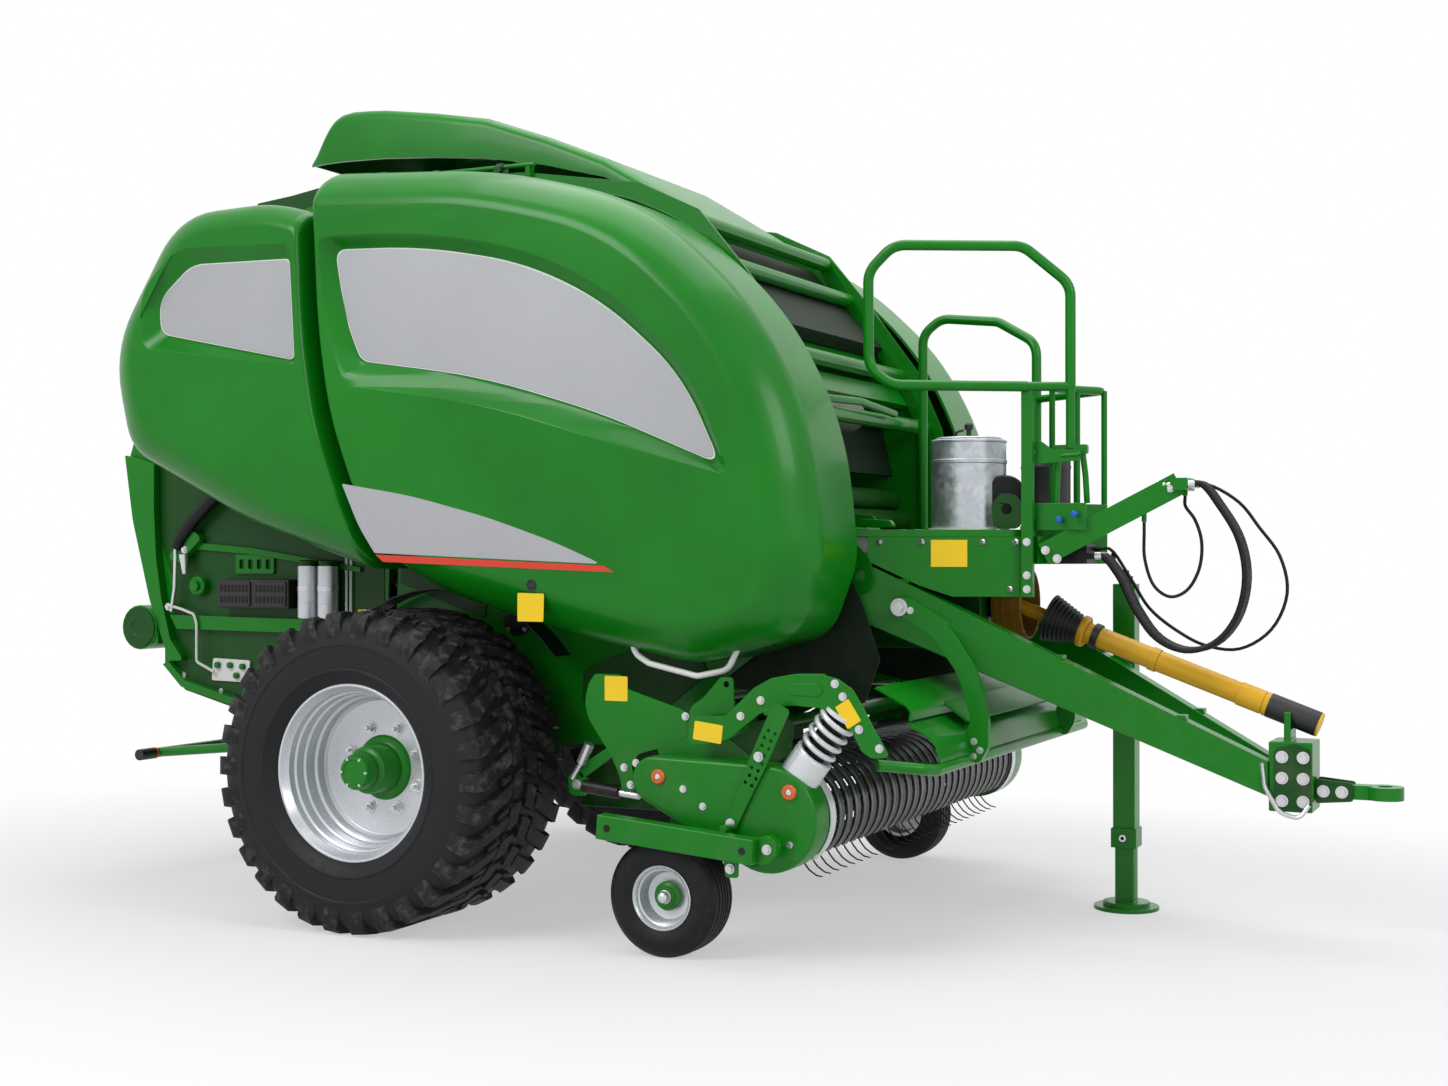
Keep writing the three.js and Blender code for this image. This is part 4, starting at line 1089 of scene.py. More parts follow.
@dataclass
class Cords(Assembly):
    """Hydraulic hoses and control cables in front of the platform."""

    hose_rows: tuple[float, ...] = (-190, -165, -140, -115)
    cable_row: float = -88
    hose_radius: float = 11
    cable_radius: float = 6
    socket_front: float = 2425
    holder_front: float = 2760
    socket_height: float = 1370
    holder_height: float = 1625

    def cord(self, name: str, points: Sequence[Sequence[float]], radius: float) -> None:
        """Cord along points.

        Args:
            name: The CAD node that it stands for.
            points: The points in millimetres.
            radius: Its radius.
        """
        line = [place(p) for p in swept(points, 5)]
        curve = bpy.data.curves.new(name, "CURVE")
        curve.dimensions = "3D"
        curve.bevel_depth = radius * MM
        curve.bevel_resolution = 3
        curve.use_fill_caps = True
        spline = curve.splines.new("POLY")
        spline.points.add(len(line) - 1)
        spline.points.foreach_set("co", [c for p in line for c in (*p, 1.0)])
        piece = bpy.data.objects.new(f"{name}_line", curve)
        bpy.context.scene.collection.objects.link(piece)
        curve.materials.append(material(HOSE))
        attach(piece, "chassis")
        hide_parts(name)

    def build(self) -> None:
        """Lays the cords."""
        x, end = self.socket_front + 0.3, self.holder_front + 0.3
        low, high = self.socket_height, self.holder_height
        bundle = [(x, low), (2450, low), (2510, 1300), (2570, 1180), (2650, 1075), (2750, 1035), (2850, 1062),
                  (2925, 1150), (2958, 1290), (2935, 1430), (2870, 1545), (2805, high), (end, high)]
        for i, y in enumerate(self.hose_rows):
            self.cord(f"hose_{i + 1}", [(px, y, pz) for px, pz in bundle], self.hose_radius)
        y = self.cable_row
        outer = [(x, 1395), (2455, 1395), (2530, 1290), (2600, 1180), (2700, 1100), (2800, 1050), (2920, 1040),
                 (3030, 1110), (3085, 1240), (3060, 1370), (2990, 1470), (2920, 1560), (2810, high), (end, high)]
        self.cord("cable_outer", [(px, y, pz) for px, pz in outer], self.cable_radius)
        inner = [(2740, -140, 1584.7), (2740, -140, 1550), (2775, -145, 1500), (2800, -150, 1420),
                 (2790, -150, 1320), (2745, -150, 1245), (2690, -155, 1224), (2635, -160, 1260),
                 (2602, -170, 1360), (2602, -178, 1452), (2602, -178, 1491.7)]
        self.cord("cable_inner", inner, self.cable_radius)

    def dress(self) -> None:
        """Adds ferrules and couplings where the hoses end."""
        ferrules, caps = Form(), Form()
        for y in self.hose_rows:
            for x, z in ((self.socket_front, self.socket_height), (self.holder_front, self.holder_height)):
                ferrules.lathe([(11.4, 2), (13.5, 2), (13.5, 20), (12.4, 22), (12.4, 26), (11.4, 26)],
                               (x, y, z), 20, (1, 0, 0))
            caps.lathe([(0, -58), (12, -58), (14, -50), (14, -20), (11, -17), (11, 0), (0, 0)],
                       (2700, y, self.holder_height), 18, (1, 0, 0))
        ferrules.piece("hose_ferrules", STEEL, "chassis")
        caps.piece("hose_couplings", STEEL, "chassis")
        refined("valve_block", BLACK, 3.0)
        refined("hose_arm", GREEN, 4.0)
        bolts("hose_arm_bolts", "chassis", [((2278, -313, 1390), (0, -1, 0)), ((2318, -302, 1360), (0, -1, 0)),
                                            ((2700, -197, 1612), (0, -1, 0))], 11)


# ---- Wheels --------------------------------------------------------------------------------


@dataclass
class MainWheel(Assembly):
    """Flotation wheel with its stepped rim and green hub."""

    name: str
    side: int
    radius: float = 585
    half: float = 300
    rim_radius: float = 305
    track: float = 1100
    lugs: int = 30

    @property
    def body(self) -> str:
        """Body that turns with the wheel."""
        return f"wheel_{self.name}"

    @property
    def centre(self) -> tuple[float, float, float]:
        """Middle of the wheel, drawn on the left."""
        return (0, self.track, self.radius)

    def at(self, angle: float, radius: float, y: float) -> Vector:
        """Point of the wheel from its angle, radius and place across it."""
        return Vector((radius * math.cos(angle), self.track + y, self.radius + radius * math.sin(angle)))

    def lug(self, form: Form, stations: Sequence[Sequence[float]], turn: float, flip: int = 1) -> None:
        """Adds a lug.

        Args:
            form: The form that it goes into.
            stations: Place across, foot radius, top radius, width and shift round the tyre of each section.
            turn: Angle of the lug.
            flip: 1 or -1, the half of the tread that it is on.
        """
        rings = []
        for y, foot, top, width, shift in stations:
            a = turn + shift / self.radius
            half = width / 2 / self.radius
            slim = half - 5 / self.radius
            rings.append([self.at(a - half, foot, y * flip), self.at(a - slim, top, y * flip),
                          self.at(a + slim, top, y * flip), self.at(a + half, foot, y * flip)])
        form.loft(rings)

    def build(self) -> None:
        """Makes the tyre and its tread."""
        r, h = self.radius, self.half
        flank = [(r - 20, h - 78), (r - 22, h - 52), (r - 28, h - 32), (r - 42, h - 17), (r - 72, h - 8),
                 (r - 106, h - 5), (r - 116, h - 2), (r - 122, h - 2), (r - 126, h - 5), (r - 168, h - 3),
                 (r - 204, h - 7), (r - 208, h - 4), (r - 214, h - 4), (r - 218, h - 9), (r - 244, h - 22),
                 (r - 262, h - 40), (r - 279, h - 66)]
        profile = [(r - 20, 0), *flank, *[(radius, -y) for radius, y in reversed(flank)]]
        carcass = Form().lathe(profile, self.centre, 120)
        carcass.on(self.side).piece(f"tyre_carcass_{self.name}", SIDEWALL, self.body, Slot.TYRE,
                                    stands_for=[f"main_tyre_{self.name}"])
        tread = Form()
        shoulder = [(h - 3, r - 84, r - 46, 66, -8), (h - 6, r - 92, r - 24, 76, -6), (h - 20, r - 60, r - 6, 78, -3),
                    (h - 58, r - 34, r - 1, 78, 4), (h - 66, r - 32, r, 66, 10), (h - 150, r - 30, r, 64, 46),
                    (h - 212, r - 30, r - 0.5, 58, 76)]
        block = [(h - 222, r - 30, r - 1, 96, 82), (h - 258, r - 30, r - 1, 98, 98),
                 (h - 284, r - 30, r - 1.5, 92, 106)]
        small = [(h - 150, r - 30, r - 4, 26, 100), (h - 206, r - 30, r - 3, 30, 122)]
        for flip, start in ((1, 0.0), (-1, math.pi / self.lugs)):
            for stations in (shoulder, block, small):
                self.lug(tread, stations, start, flip)
        step = 2 * math.pi / self.lugs
        repeated(tread.on(self.side), f"tyre_tread_{self.name}", TYRE, self.body, self.lugs,
                 turn=step, pivot=(0, self.side * self.track, self.radius))

    def dress(self) -> None:
        """Makes the rim, the hub and the wheel bolts."""
        r = self.rim_radius
        rim = [(r - 1, -233), (r - 1, 226), (r + 6, 238), (r + 15, 246), (r + 20, 256), (r + 17, 262), (r + 9, 262),
               (r + 3, 252), (r - 4, 240), (r - 10, 232), (r - 12, 206), (r - 20, 200), (r - 22, 164),
               (r - 30, 157), (r - 32, 112), (r - 42, 104), (r - 44, 72), (r - 56, 60), (r - 84, 54), (r - 150, 51),
               (92, 51), (92, 35), (r - 90, 37), (r - 40, 33), (r - 26, -60), (r - 16, -233)]
        form = Form().lathe(rim, self.centre, 96)
        form.on(self.side).piece(f"rim_barrel_{self.name}", RIM, self.body, Slot.SILVER, 1.2,
                                 [f"main_rim_{self.name}"])
        hub = [(0, -80), (88, -80), (88, 0), (128, 2), (128, 40), (126, 46), (112, 60), (96, 62), (90, 66), (88, 74),
               (88, 152), (82, 162), (70, 166), (65, 172), (65, 226), (58, 238), (46, 240), (44, 236), (0, 236)]
        form = Form().lathe(hub, self.centre, 64)
        form.on(self.side).piece(f"hub_{self.name}", GREEN, self.body, Slot.GREEN, 1.0)
        turns = [2 * math.pi * (k + 0.5) / 8 for k in range(8)]
        spots = [self.at(a, 158, 51) for a in turns]
        y = self.side
        bolts(f"wheel_nuts_{self.name}", self.body, [((p.x, p.y * y, p.z), (0, y, 0)) for p in spots], 17)
        studs = Form()
        for p in spots:
            studs.rod(p, p + Vector((0, 34, 0)), 9, 12)
        studs.on(y).piece(f"wheel_studs_{self.name}", STEEL, self.body, bevel=1.0)
        cap = [self.at(2 * math.pi * k / 6, 52, 239) for k in range(6)]
        bolts(f"hub_screws_{self.name}", self.body, [((p.x, p.y * y - 2 * y, p.z), (0, y, 0)) for p in cap], 5)
        valve = Form().rod(self.at(0.6, 262, 108), self.at(0.6, 250, 160), 5, 10)
        valve.on(y).piece(f"tyre_valve_{self.name}", BLACK_PLASTIC, self.body)


@dataclass
class GaugeWheel(Assembly):
    """Small ribbed wheel beside the pickup."""

    name: str
    side: int
    x: float = 1198
    y: float = 1152.5
    radius: float = 206
    half: float = 82.5

    def build(self) -> None:
        """Makes the tyre."""
        r, h = self.radius, self.half
        half = [(r, 5), (r, 14), (r - 9, 17), (r - 9, 22), (r, 25), (r, 37), (r - 9, 40), (r - 9, 45), (r - 1, 48),
                (r - 2, 60), (r - 9, 66), (r - 12, 70), (r - 24, h - 6), (r - 50, h - 1), (r - 56, h), (r - 64, h - 1),
                (r - 84, h - 6), (r - 98, h - 14), (r - 101, h - 22)]
        profile = [(r - 9, 0), (r - 9, 2), *half, *[(a, -b) for a, b in reversed(half)], (r - 9, -2)]
        form = Form().lathe(profile, (self.x, self.y, r), 72)
        form.on(self.side).piece(f"gauge_tyre_{self.name}", SMALL_TYRE, f"gauge_{self.name}", Slot.TYRE,
                                 stands_for=[f"gauge_wheel_{self.name}"])

    def dress(self) -> None:
        """Makes the rim, hub and nut."""
        centre = (self.x, self.y, self.radius)
        rim = [(104, -56), (104, 60), (110, 68), (112, 74), (108, 77), (101, 70), (98, 60), (92, 56), (90, 30),
               (80, 14), (56, 10), (40, 10), (40, 2), (84, 3), (90, -56)]
        body = f"gauge_{self.name}"
        Form().lathe(rim, centre, 56).on(self.side).piece(f"gauge_rim_{self.name}", RIM, body, bevel=0.8)
        hub = [(16.5, -48), (42, -48), (42, 18), (50, 20), (50, 28), (42, 34), (34, 36), (34, 41), (16.5, 41)]
        Form().lathe(hub, centre, 48).on(self.side).piece(f"gauge_hub_{self.name}", GREEN, body, Slot.GREEN, 0.8)
        nut = Form().lathe([(15.6, 42), (24, 42), (24, 50), (15.6, 50)], centre, 24)
        nut.lathe([(0, 44), (21, 44), (21, 60), (17, 69), (9, 74), (0, 75)], centre, 32)
        nut.on(self.side).piece(f"gauge_nut_{self.name}", STEEL, body, bevel=1.5)


# ---- Panels --------------------------------------------------------------------------------


@dataclass
class Panel(Assembly):
    """Moulded side panel whose broad edges roll inwards, with a silver field let into it."""

    name: str
    side: int
    foot: float
    skin: float
    outline: tuple[Point2, ...]
    bends: tuple[float, ...]
    shares: tuple[float, ...]
    recess: tuple[Point2, ...]
    field: tuple[Point2, ...]
    recess_bends: tuple[float, ...]
    body: str
    node: str
    roll: tuple[tuple[float, float], ...] = ((0, 190), (4, 150), (20, 108), (44, 66), (82, 24), (108, 6), (130, 0))
    depth: float = 48
    gauge: float = 9

    def ring(self, inset: float, y: float) -> list[tuple]:
        """Ring of the panel's outline, moved inwards, at a place across the machine."""
        moved = inward(self.outline, [inset * share for share in self.shares])
        return [(x, y, z) for x, z in filleted(moved, self.bends, 7)]

    def build(self) -> None:
        """Makes the shell and the silver field."""
        bend = [(p.x, p.y) for p in swept([Vector(p) for p in self.roll], 2)]
        outer = [self.ring(0, self.foot), *[self.ring(inset, self.skin - drop) for inset, drop in bend]]
        low = [self.ring(inset + self.gauge, self.skin - drop - self.gauge) for inset, drop in bend if drop > 30]
        last = self.roll[-1][0]
        under = [self.ring(last, self.skin - self.depth - 12), *low[::-1], self.ring(self.gauge, self.foot)]
        rings = [*under, *outer]
        count = len(rings[0])
        faces = [list(range(count))]
        for k in range(len(rings) - 1):
            faces += [[k * count + i, k * count + (i + 1) % count, (k + 1) * count + (i + 1) % count,
                       (k + 1) * count + i] for i in range(count)]
        points = [p for ring in rings for p in ring]
        face, edge = self.skin, filleted(self.recess, self.recess_bends, 7)
        floor = filleted(inward(self.field, -7.0), self.recess_bends, 7)
        base, hole = len(points), len(edge)
        slope = ((0.0, 0.0), (0.04, 0.025), (0.1, 0.08), (0.3, 0.28), (0.5, 0.49), (0.7, 0.7), (0.9, 0.93), (1.0, 1.0))
        for share, deep in slope:
            points += [(x + (a - x) * share, face - self.depth * deep, z + (b - z) * share)
                       for (x, z), (a, b) in zip(edge, floor)]
        for k in range(len(slope) - 1):
            first = base + k * hole
            faces += [[first + i, first + (i + 1) % hole, first + hole + (i + 1) % hole, first + hole + i]
                      for i in range(hole)]
        faces.append([base + (len(slope) - 1) * hole + i for i in range(hole)])
        flat = [Vector((p[0], p[2], 0)) for p in rings[-1]]
        numbers = [(len(rings) - 1) * count + i for i in range(count)] + [base + i for i in range(hole)]
        caps = tessellate_polygon([flat, [Vector((x, z, 0)) for x, z in edge]])
        faces += [[numbers[i] for i in cap] for cap in caps]
        shell = Form().add(points, faces)
        skin = show(smooth(shell.on(self.side).mesh("shell"), math.radians(19)), f"{self.name}_shell", GREEN,
                    self.body, stands_for=[self.node])
        level = skin.modifiers.new("Level", "WEIGHTED_NORMAL")
        level.keep_sharp = True
        level.weight = 100
        inlay = Form().plate(filleted(self.field, self.recess_bends, 7), face - self.depth, face - self.depth + 4)
        inlay.on(self.side).piece(f"{self.name}_inlay", SILVER, self.body, Slot.SILVER, 1.5)
        trim = filleted(inward(self.field, -3.5), self.recess_bends, 7)
        rim = Form().plate(trim, face - self.depth, face - self.depth + 2.6,
                           [filleted(self.field, self.recess_bends, 7)])
        rim.on(self.side).piece(f"{self.name}_trim", PALE, self.body)


DOOR_OUTLINE = ((-375, 2850), (-375, 2664), (-352, 2225), (-298, 1900), (-205, 1650), (-120, 1478), (-20, 1345),
                (152, 1244), (402, 1166), (833, 1062), (1231, 986), (1600, 1091), (1700, 1358), (1650, 1823),
                (1440, 2240), (1010, 2640), (400, 2800))
DOOR_BENDS = (110, 3000, 3000, 2000, 2000, 1500, 600, 1500, 3000, 3000, 420, 170, 330, 1300, 1800, 1500, 2500)
DOOR_SHARES = (0.42, 0.42, 0.42, 0.42, 0.42, 0.42, 0.6, 0.9, 1.15, 1.2, 1.1, 1.1, 1.15, 1.2, 1.2, 1.2, 1.15)
DOOR_RECESS = ((-308, 2578), (140, 2563), (590, 2478), (938, 2316), (1266, 2020), (1425, 1640), (905, 1780),
               (390, 1928), (-185, 2008), (-272, 2240))
DOOR_FIELD = ((-253, 2527), (138, 2511), (570, 2427), (900, 2272), (1216, 1995), (1361, 1688), (900, 1877),
              (400, 2027), (-133, 2105), (-202, 2259))
DOOR_RECESS_BENDS = (45, 2500, 2500, 1500, 1500, 30, 3000, 4000, 70, 900)


@dataclass
class SideDoor(Assembly):
    """Large door over the chamber's side."""

    name: str
    side: int
    skin: float = 1155
    foot: float = 670

    @property
    def body(self) -> str:
        """Body that swings with the door."""
        return f"door_{self.name}"

    def build(self) -> None:
        """Makes the moulded panel."""
        Panel(f"door_{self.name}", self.side, self.foot, self.skin, DOOR_OUTLINE, DOOR_BENDS, DOOR_SHARES, DOOR_RECESS,
              DOOR_FIELD, DOOR_RECESS_BENDS, self.body, f"side_door_{self.name}").build()

    def strip(self, name: str, finish: Finish, outline: Sequence[Point2], slot: Slot | None = None) -> None:
        """Thin sheet on the door's skin.

        Args:
            name: Its name.
            finish: Its finish.
            outline: Its outline.
            slot: The record's slot, which is not used.
        """
        sheet = Form().plate(outline, self.skin + 0.2, self.skin + 1.6)
        sheet.on(self.side).piece(f"{name}_{self.name}", finish, self.body, slot)

    def dress(self) -> None:
        """Adds the silver wedge, the red stripe, labels, lock, handle and hinges."""
        wedge = [(-190, 1640), (112, 1593), (451, 1510), (739, 1418), (925, 1342), (-40, 1380), (-112, 1478)]
        self.strip("door_wedge", SILVER, filleted(wedge, (4, 2500, 2500, 2500, 6, 10, 1500), 6), Slot.SILVER)
        self.strip("door_stripe", RED, [(-36, 1374), (935, 1336), (975, 1313), (-2, 1347)])
        self.strip("door_label", LABEL, filleted([(582, 1238), (692, 1236), (689, 1136), (582, 1136)], 5, 3))
        y = self.skin
        lock = Form().lathe([(10, -1), (20, -1), (20, 3), (15, 3), (13, -0.5), (10, -0.5)], (639, y, 1266), 28)
        lock.lathe([(0, 0.2), (13, 0.2), (13, 1), (9, 1.4), (0, 1.4)], (639, y, 1266), 24)
        lock.on(self.side).piece(f"door_lock_{self.name}", BLACK_PLASTIC, self.body)
        path = [(965, 1015, 1088), (985, 1015, 1022), (1040, 1015, 990), (1231, 1015, 950), (1350, 1015, 975),
                (1400, 1015, 1078)]
        handle = Form().tube(path, 11, 16, 60)
        handle.on(self.side).piece(f"door_handle_{self.name}", WHITE, self.body)
        knuckles = Form()
        for x in (-120, 180):
            knuckles.box(x, x + 30, 667, 695, 2808, 2866)
            knuckles.lathe([(9.6, 0), (14, 0), (14, 30), (9.6, 30)], (x, 658, 2885), 24, (1, 0, 0))
            knuckles.box(x, x + 30, 662, 684, 2858, 2884)
        knuckles.on(self.side).piece(f"door_knuckles_{self.name}", SHADE, self.body, Slot.GREEN, 1.5)
        inner = filleted(inward(DOOR_OUTLINE, 70.0), DOOR_BENDS, 4)
        hole = filleted(inward(DOOR_OUTLINE, 120.0), DOOR_BENDS, 4)
        flange = Form().plate(inner, 700, 706, [hole])
        flange.on(self.side).piece(f"door_frame_{self.name}", SHADE, self.body, Slot.GREEN, 1.5)
        seam = Form().tube([(120, self.skin - 29, 2712), (128, self.skin - 66, 2757)], 1.4, 6)
        seam.on(self.side).piece(f"door_seam_{self.name}", SHADE, self.body)


PANEL_OUTLINE = ((-392, 2690), (-372, 2225), (-318, 1900), (-227, 1650), (-142, 1470), (-75, 1300), (-726, 1507),
                 (-1310, 1792), (-1406, 2198), (-1052, 2735), (-604, 2748))
PANEL_BENDS = (50, 3000, 2500, 2000, 1500, 40, 1500, 190, 600, 330, 1500)
PANEL_SHARES = (0.3, 0.3, 0.3, 0.3, 0.3, 1.2, 1.5, 1.5, 1.2, 1.0, 0.9)
PANEL_RECESS = ((-985, 2580), (-440, 2562), (-414, 2095), (-1165, 2190), (-1188, 2420))
PANEL_FIELD = ((-951, 2515), (-475, 2507), (-451, 2123), (-1104, 2254), (-1115, 2386))
PANEL_RECESS_BENDS = (170, 22, 22, 60, 240)


@dataclass
class Tailgate(Assembly):
    """Tailgate with its side panels, cover, belts and rear beam."""

    skin: float = 1150
    wall: float = 661

    def build(self) -> None:
        """Makes the panels and refines the sheet metal."""
        roll = ((0, 150), (3, 104), (14, 70), (34, 40), (62, 16), (84, 4), (100, 0))
        for name, side in SIDES:
            Panel(f"tailgate_{name}", side, 659, self.skin, PANEL_OUTLINE, PANEL_BENDS, PANEL_SHARES, PANEL_RECESS,
                  PANEL_FIELD, PANEL_RECESS_BENDS, "tailgate", f"tailgate_panel_{name}", roll, 42).build()
            refined(f"tailgate_wall_{name}", GREEN, 2.0)
        # Ledge plate under the hood, drawn in the darker green as painted shade.
        ledge = Form().plate([(-1150, 2700), (-1036, 2850), (-860, 2868), (-700, 2892), (-560, 2900), (-520, 2860),
                              (-560, 2700)], 600, 608)
        ledge.pair("tailgate_ledge", SHADE, "tailgate", Slot.GREEN, 1.5)
        # Dark green plate inside the tailgate's wall: painted shade below and behind the side panels.
        back = Form().plate([(-1560, 1860), (-1480, 2000), (-400, 2000), (-352, 1300), (-352, 800), (-420, 775),
                             (-1080, 755), (-1350, 830), (-1440, 930), (-1440, 1240), (-1580, 1600)], 659.2, self.wall)
        back.pair("tailgate_shade_plate", SHADE, "tailgate", Slot.DARK)
        post = Form().plate(filleted([(-1684, 1800), (-1640, 1520), (-1545, 1177), (-1440, 925), (-1350, 917),
                                      (-1429, 1008), (-1478, 1178), (-1508, 1348), (-1520, 1560), (-1520, 1760)],
                                     (6, 300, 300, 20, 20, 60, 200, 300, 300, 20), 4), self.wall, 698)
        post.pair("tailgate_post", GREEN, "tailgate", Slot.GREEN, 2.5)
        shelf = Form().plate([(-1440, 1116), (-560, 1106), (-560, 1048), (-1400, 1056)], self.wall, 692)
        shelf.plate([(-1395, 1430), (-1010, 1400), (-460, 1322), (-460, 1300), (-1010, 1372), (-1395, 1400)],
                    self.wall, 676)
        shelf.pair("tailgate_shelf", GREEN, "tailgate", Slot.GREEN, 2.0)
        refined("tailgate_cover", GREEN, 2.0)
        refined("rear_belts", BELT, 1.5)
        refined("rear_rollers", ZINC, 2.0)
        refined("rear_beam", GREEN, 4.0)
        refined("junction_box", BLACK_PLASTIC, 6.0)

    def dress(self) -> None:
        """Adds filters, boxes, rams, pipes, valve plate and lamps."""
        self.filters()
        self.boxes()
        self.rams()
        self.pipes()

    def filters(self) -> None:
        """Two silver filter cans on their bracket."""
        up = (0, 0, 1)
        cans, lids, clips = Form(), Form(), Form()
        for foot in ((-695, -708, 1112), (-595, -708, 1112)):
            cans.lathe([(0, 0), (38, 0), (42, 5), (42, 214), (0, 214)], foot, 36, up)
            cans.lathe([(42, 60), (42.8, 61), (42.8, 64), (42, 65)], foot, 36, up)
            lids.lathe([(0, 214), (36, 214), (36, 222), (40, 224), (40, 234), (30, 238), (0, 238)], foot, 28, up)
            clips.lathe([(42.2, 112), (44, 112), (44, 132), (42.2, 132)], foot, 30, up)
        cans.piece("filter_bodies", RIM, "tailgate", Slot.SILVER, 0.0, ["filter_cans"])
        lids.box(-760, -540, -668, -659, 1180, 1300).box(-745, -555, -700, -664, 1222, 1240)
        lids.piece("filter_heads", SHADE, "tailgate", bevel=1.5)
        clips.piece("filter_clips", STEEL, "tailgate")

    def boxes(self) -> None:
        """Control boxes' lids, with their rows of slots, and the bracket over them."""
        lid = Form()
        for x0, x1 in ((-1140, -974), (-956, -790)):
            lid.plate(filleted([(x0, 1158), (x1, 1158), (x1, 1262), (x0, 1262)], 12, 4), -735, -728.5)
        lid.piece("control_lids", BLACK_PLASTIC, "tailgate", Slot.BLACK, 1.5)
        for k, x in enumerate((-1128, -944)):
            for row, z in (("lid_slots", 1172), ("lid_slots_high", 1218)):
                slot = Form().box(x, x + 10, -736.5, -735, z, z + 28)
                repeated(slot, f"{row}_{k}", BLACK, "tailgate", 8, (19, 0, 0))
        bracket = Form().plate(filleted([(-1100, 1292), (-900, 1292), (-900, 1372), (-1100, 1372)], 10, 4), -672, -664,
                               [filleted([(-1080 + d, 1312), (-1056 + d, 1312), (-1056 + d, 1352), (-1080 + d, 1352)],
                                         8, 3) for d in (0, 46, 92, 138)])
        bracket.piece("slotted_bracket", GREEN, "tailgate", Slot.GREEN, 1.0)
        label = Form().box(-480, -400, -662.5, -660.6, 1110, 1150)
        label.piece("tailgate_label", LABEL, "tailgate")

    def rams(self) -> None:
        """Latch rams with their bosses, on both sides."""
        ram = Form().tube([(-1392, 700, 1400), (-1370, 702, 1440), (-1300, 704, 1515), (-1150, 704, 1640)], 27, 20, 60)
        ram.pair("latch_boot", BLACK, "tailgate", Slot.BLACK, 2.0)
        rod = Form().tube([(-1418, 704, 1130), (-1400, 704, 1230), (-1396, 704, 1400)], 8, 14, 40)
        rod.rod((-1345, 704, 1290), (-1352, 704, 1372), 10, 16, 20)
        rod.pair("latch_rod", STEEL, "tailgate")
        boss = Form().plate(filleted([(-1440, 1360), (-1390, 1330), (-1330, 1380), (-1262, 1440), (-1300, 1470),
                                      (-1380, 1430)], 14, 4), 662, 700)
        hub = (-1290, self.wall, 1240)
        boss.lathe([(0, 0), (42, 0), (42, 30), (36, 36), (0, 36)], hub, 32)
        boss.lathe([(0, 36), (22, 36), (22, 50), (0, 50)], hub, 6)
        boss.pair("latch_boss", GREEN, "tailgate", Slot.GREEN, 1.5)
        edge = ((-1380, 860), (-1180, 800), (-980, 790), (-780, 800), (-560, 840), (-460, 1000), (-440, 1140))
        spots = [(-1438, 700, 1150), (-1350, 700, 1392), *[(x, 658.5, z) for x, z in edge]]
        bolt_pair("tailgate_bolts", "tailgate", spots, 11)
        fold = Form().plate([(-1470, 905), (-1370, 812), (-1087, 742), (-440, 762), (-400, 830), (-440, 815),
                             (-1080, 772), (-1355, 840), (-1440, 918)], 659, 700)
        fold.pair("tailgate_fold", GREEN, "tailgate", Slot.GREEN, 2.0)
        beam = Form()
        for side in (-1, 1):
            beam.lathe([(0, 706), (80, 706), (86, 711), (86, 714), (40, 714), (36, 711), (0, 711)],
                       (-1590.3, 0, 1060), 40, (0, side, 0))
        beam.piece("rear_beam_ends", SHADE, "tailgate", Slot.GREEN)

    def pipes(self) -> None:
        """White grease lines and the greasing block."""
        lines = Form()
        for k in range(4):
            y, d = -(664 + 7 * (k % 2)), 11 * k
            lines.tube([(-540 + d, y, 1400), (-540 + d, y, 1060 - d), (-470 + d, y, 1010 - d), (-452 + d / 2, y, 900)],
                       3.2, 8, 22)
        lines.tube([(-1440, -702, 1158), (-1360, -702, 1140), (-1296, -702, 1120), (-1282, -702, 1080),
                    (-1282, -702, 920), (-1200, -690, 880)], 6, 10, 24)
        lines.piece("grease_lines", WHITE, "tailgate")
        block = Form().plate(filleted([(-560, 1392), (-470, 1392), (-470, 1452), (-560, 1452)], 8, 3), -680, -659)
        block.piece("grease_block", STEEL, "tailgate", bevel=1.5)
        plate = Form().plate(filleted([(-1228, 842), (-1036, 838), (-1024, 930), (-1220, 936)], 10, 4), -672,
                             -self.wall)
        plate.piece("control_plate", WHITE, "tailgate", bevel=1.0)
        knobs = Form()
        for x, z in ((-1190, 908), (-1124, 908), (-1058, 904), (-1090, 866)):
            knobs.lathe([(0, 0), (13, 0), (13, 14), (9, 18), (0, 18)], (x, -672, z), 20, (0, -1, 0))
        knobs.piece("control_knobs", GREEN, "tailgate")
        lamps = Form()
        for side in (-1, 1):
            lamps.box(-1689, -1684, *sorted((side * 470, side * 620)), 1000, 1110)
        lamps.piece("rear_reflectors", ORANGE, "tailgate", bevel=3.0)


# ---- Chassis -------------------------------------------------------------------------------


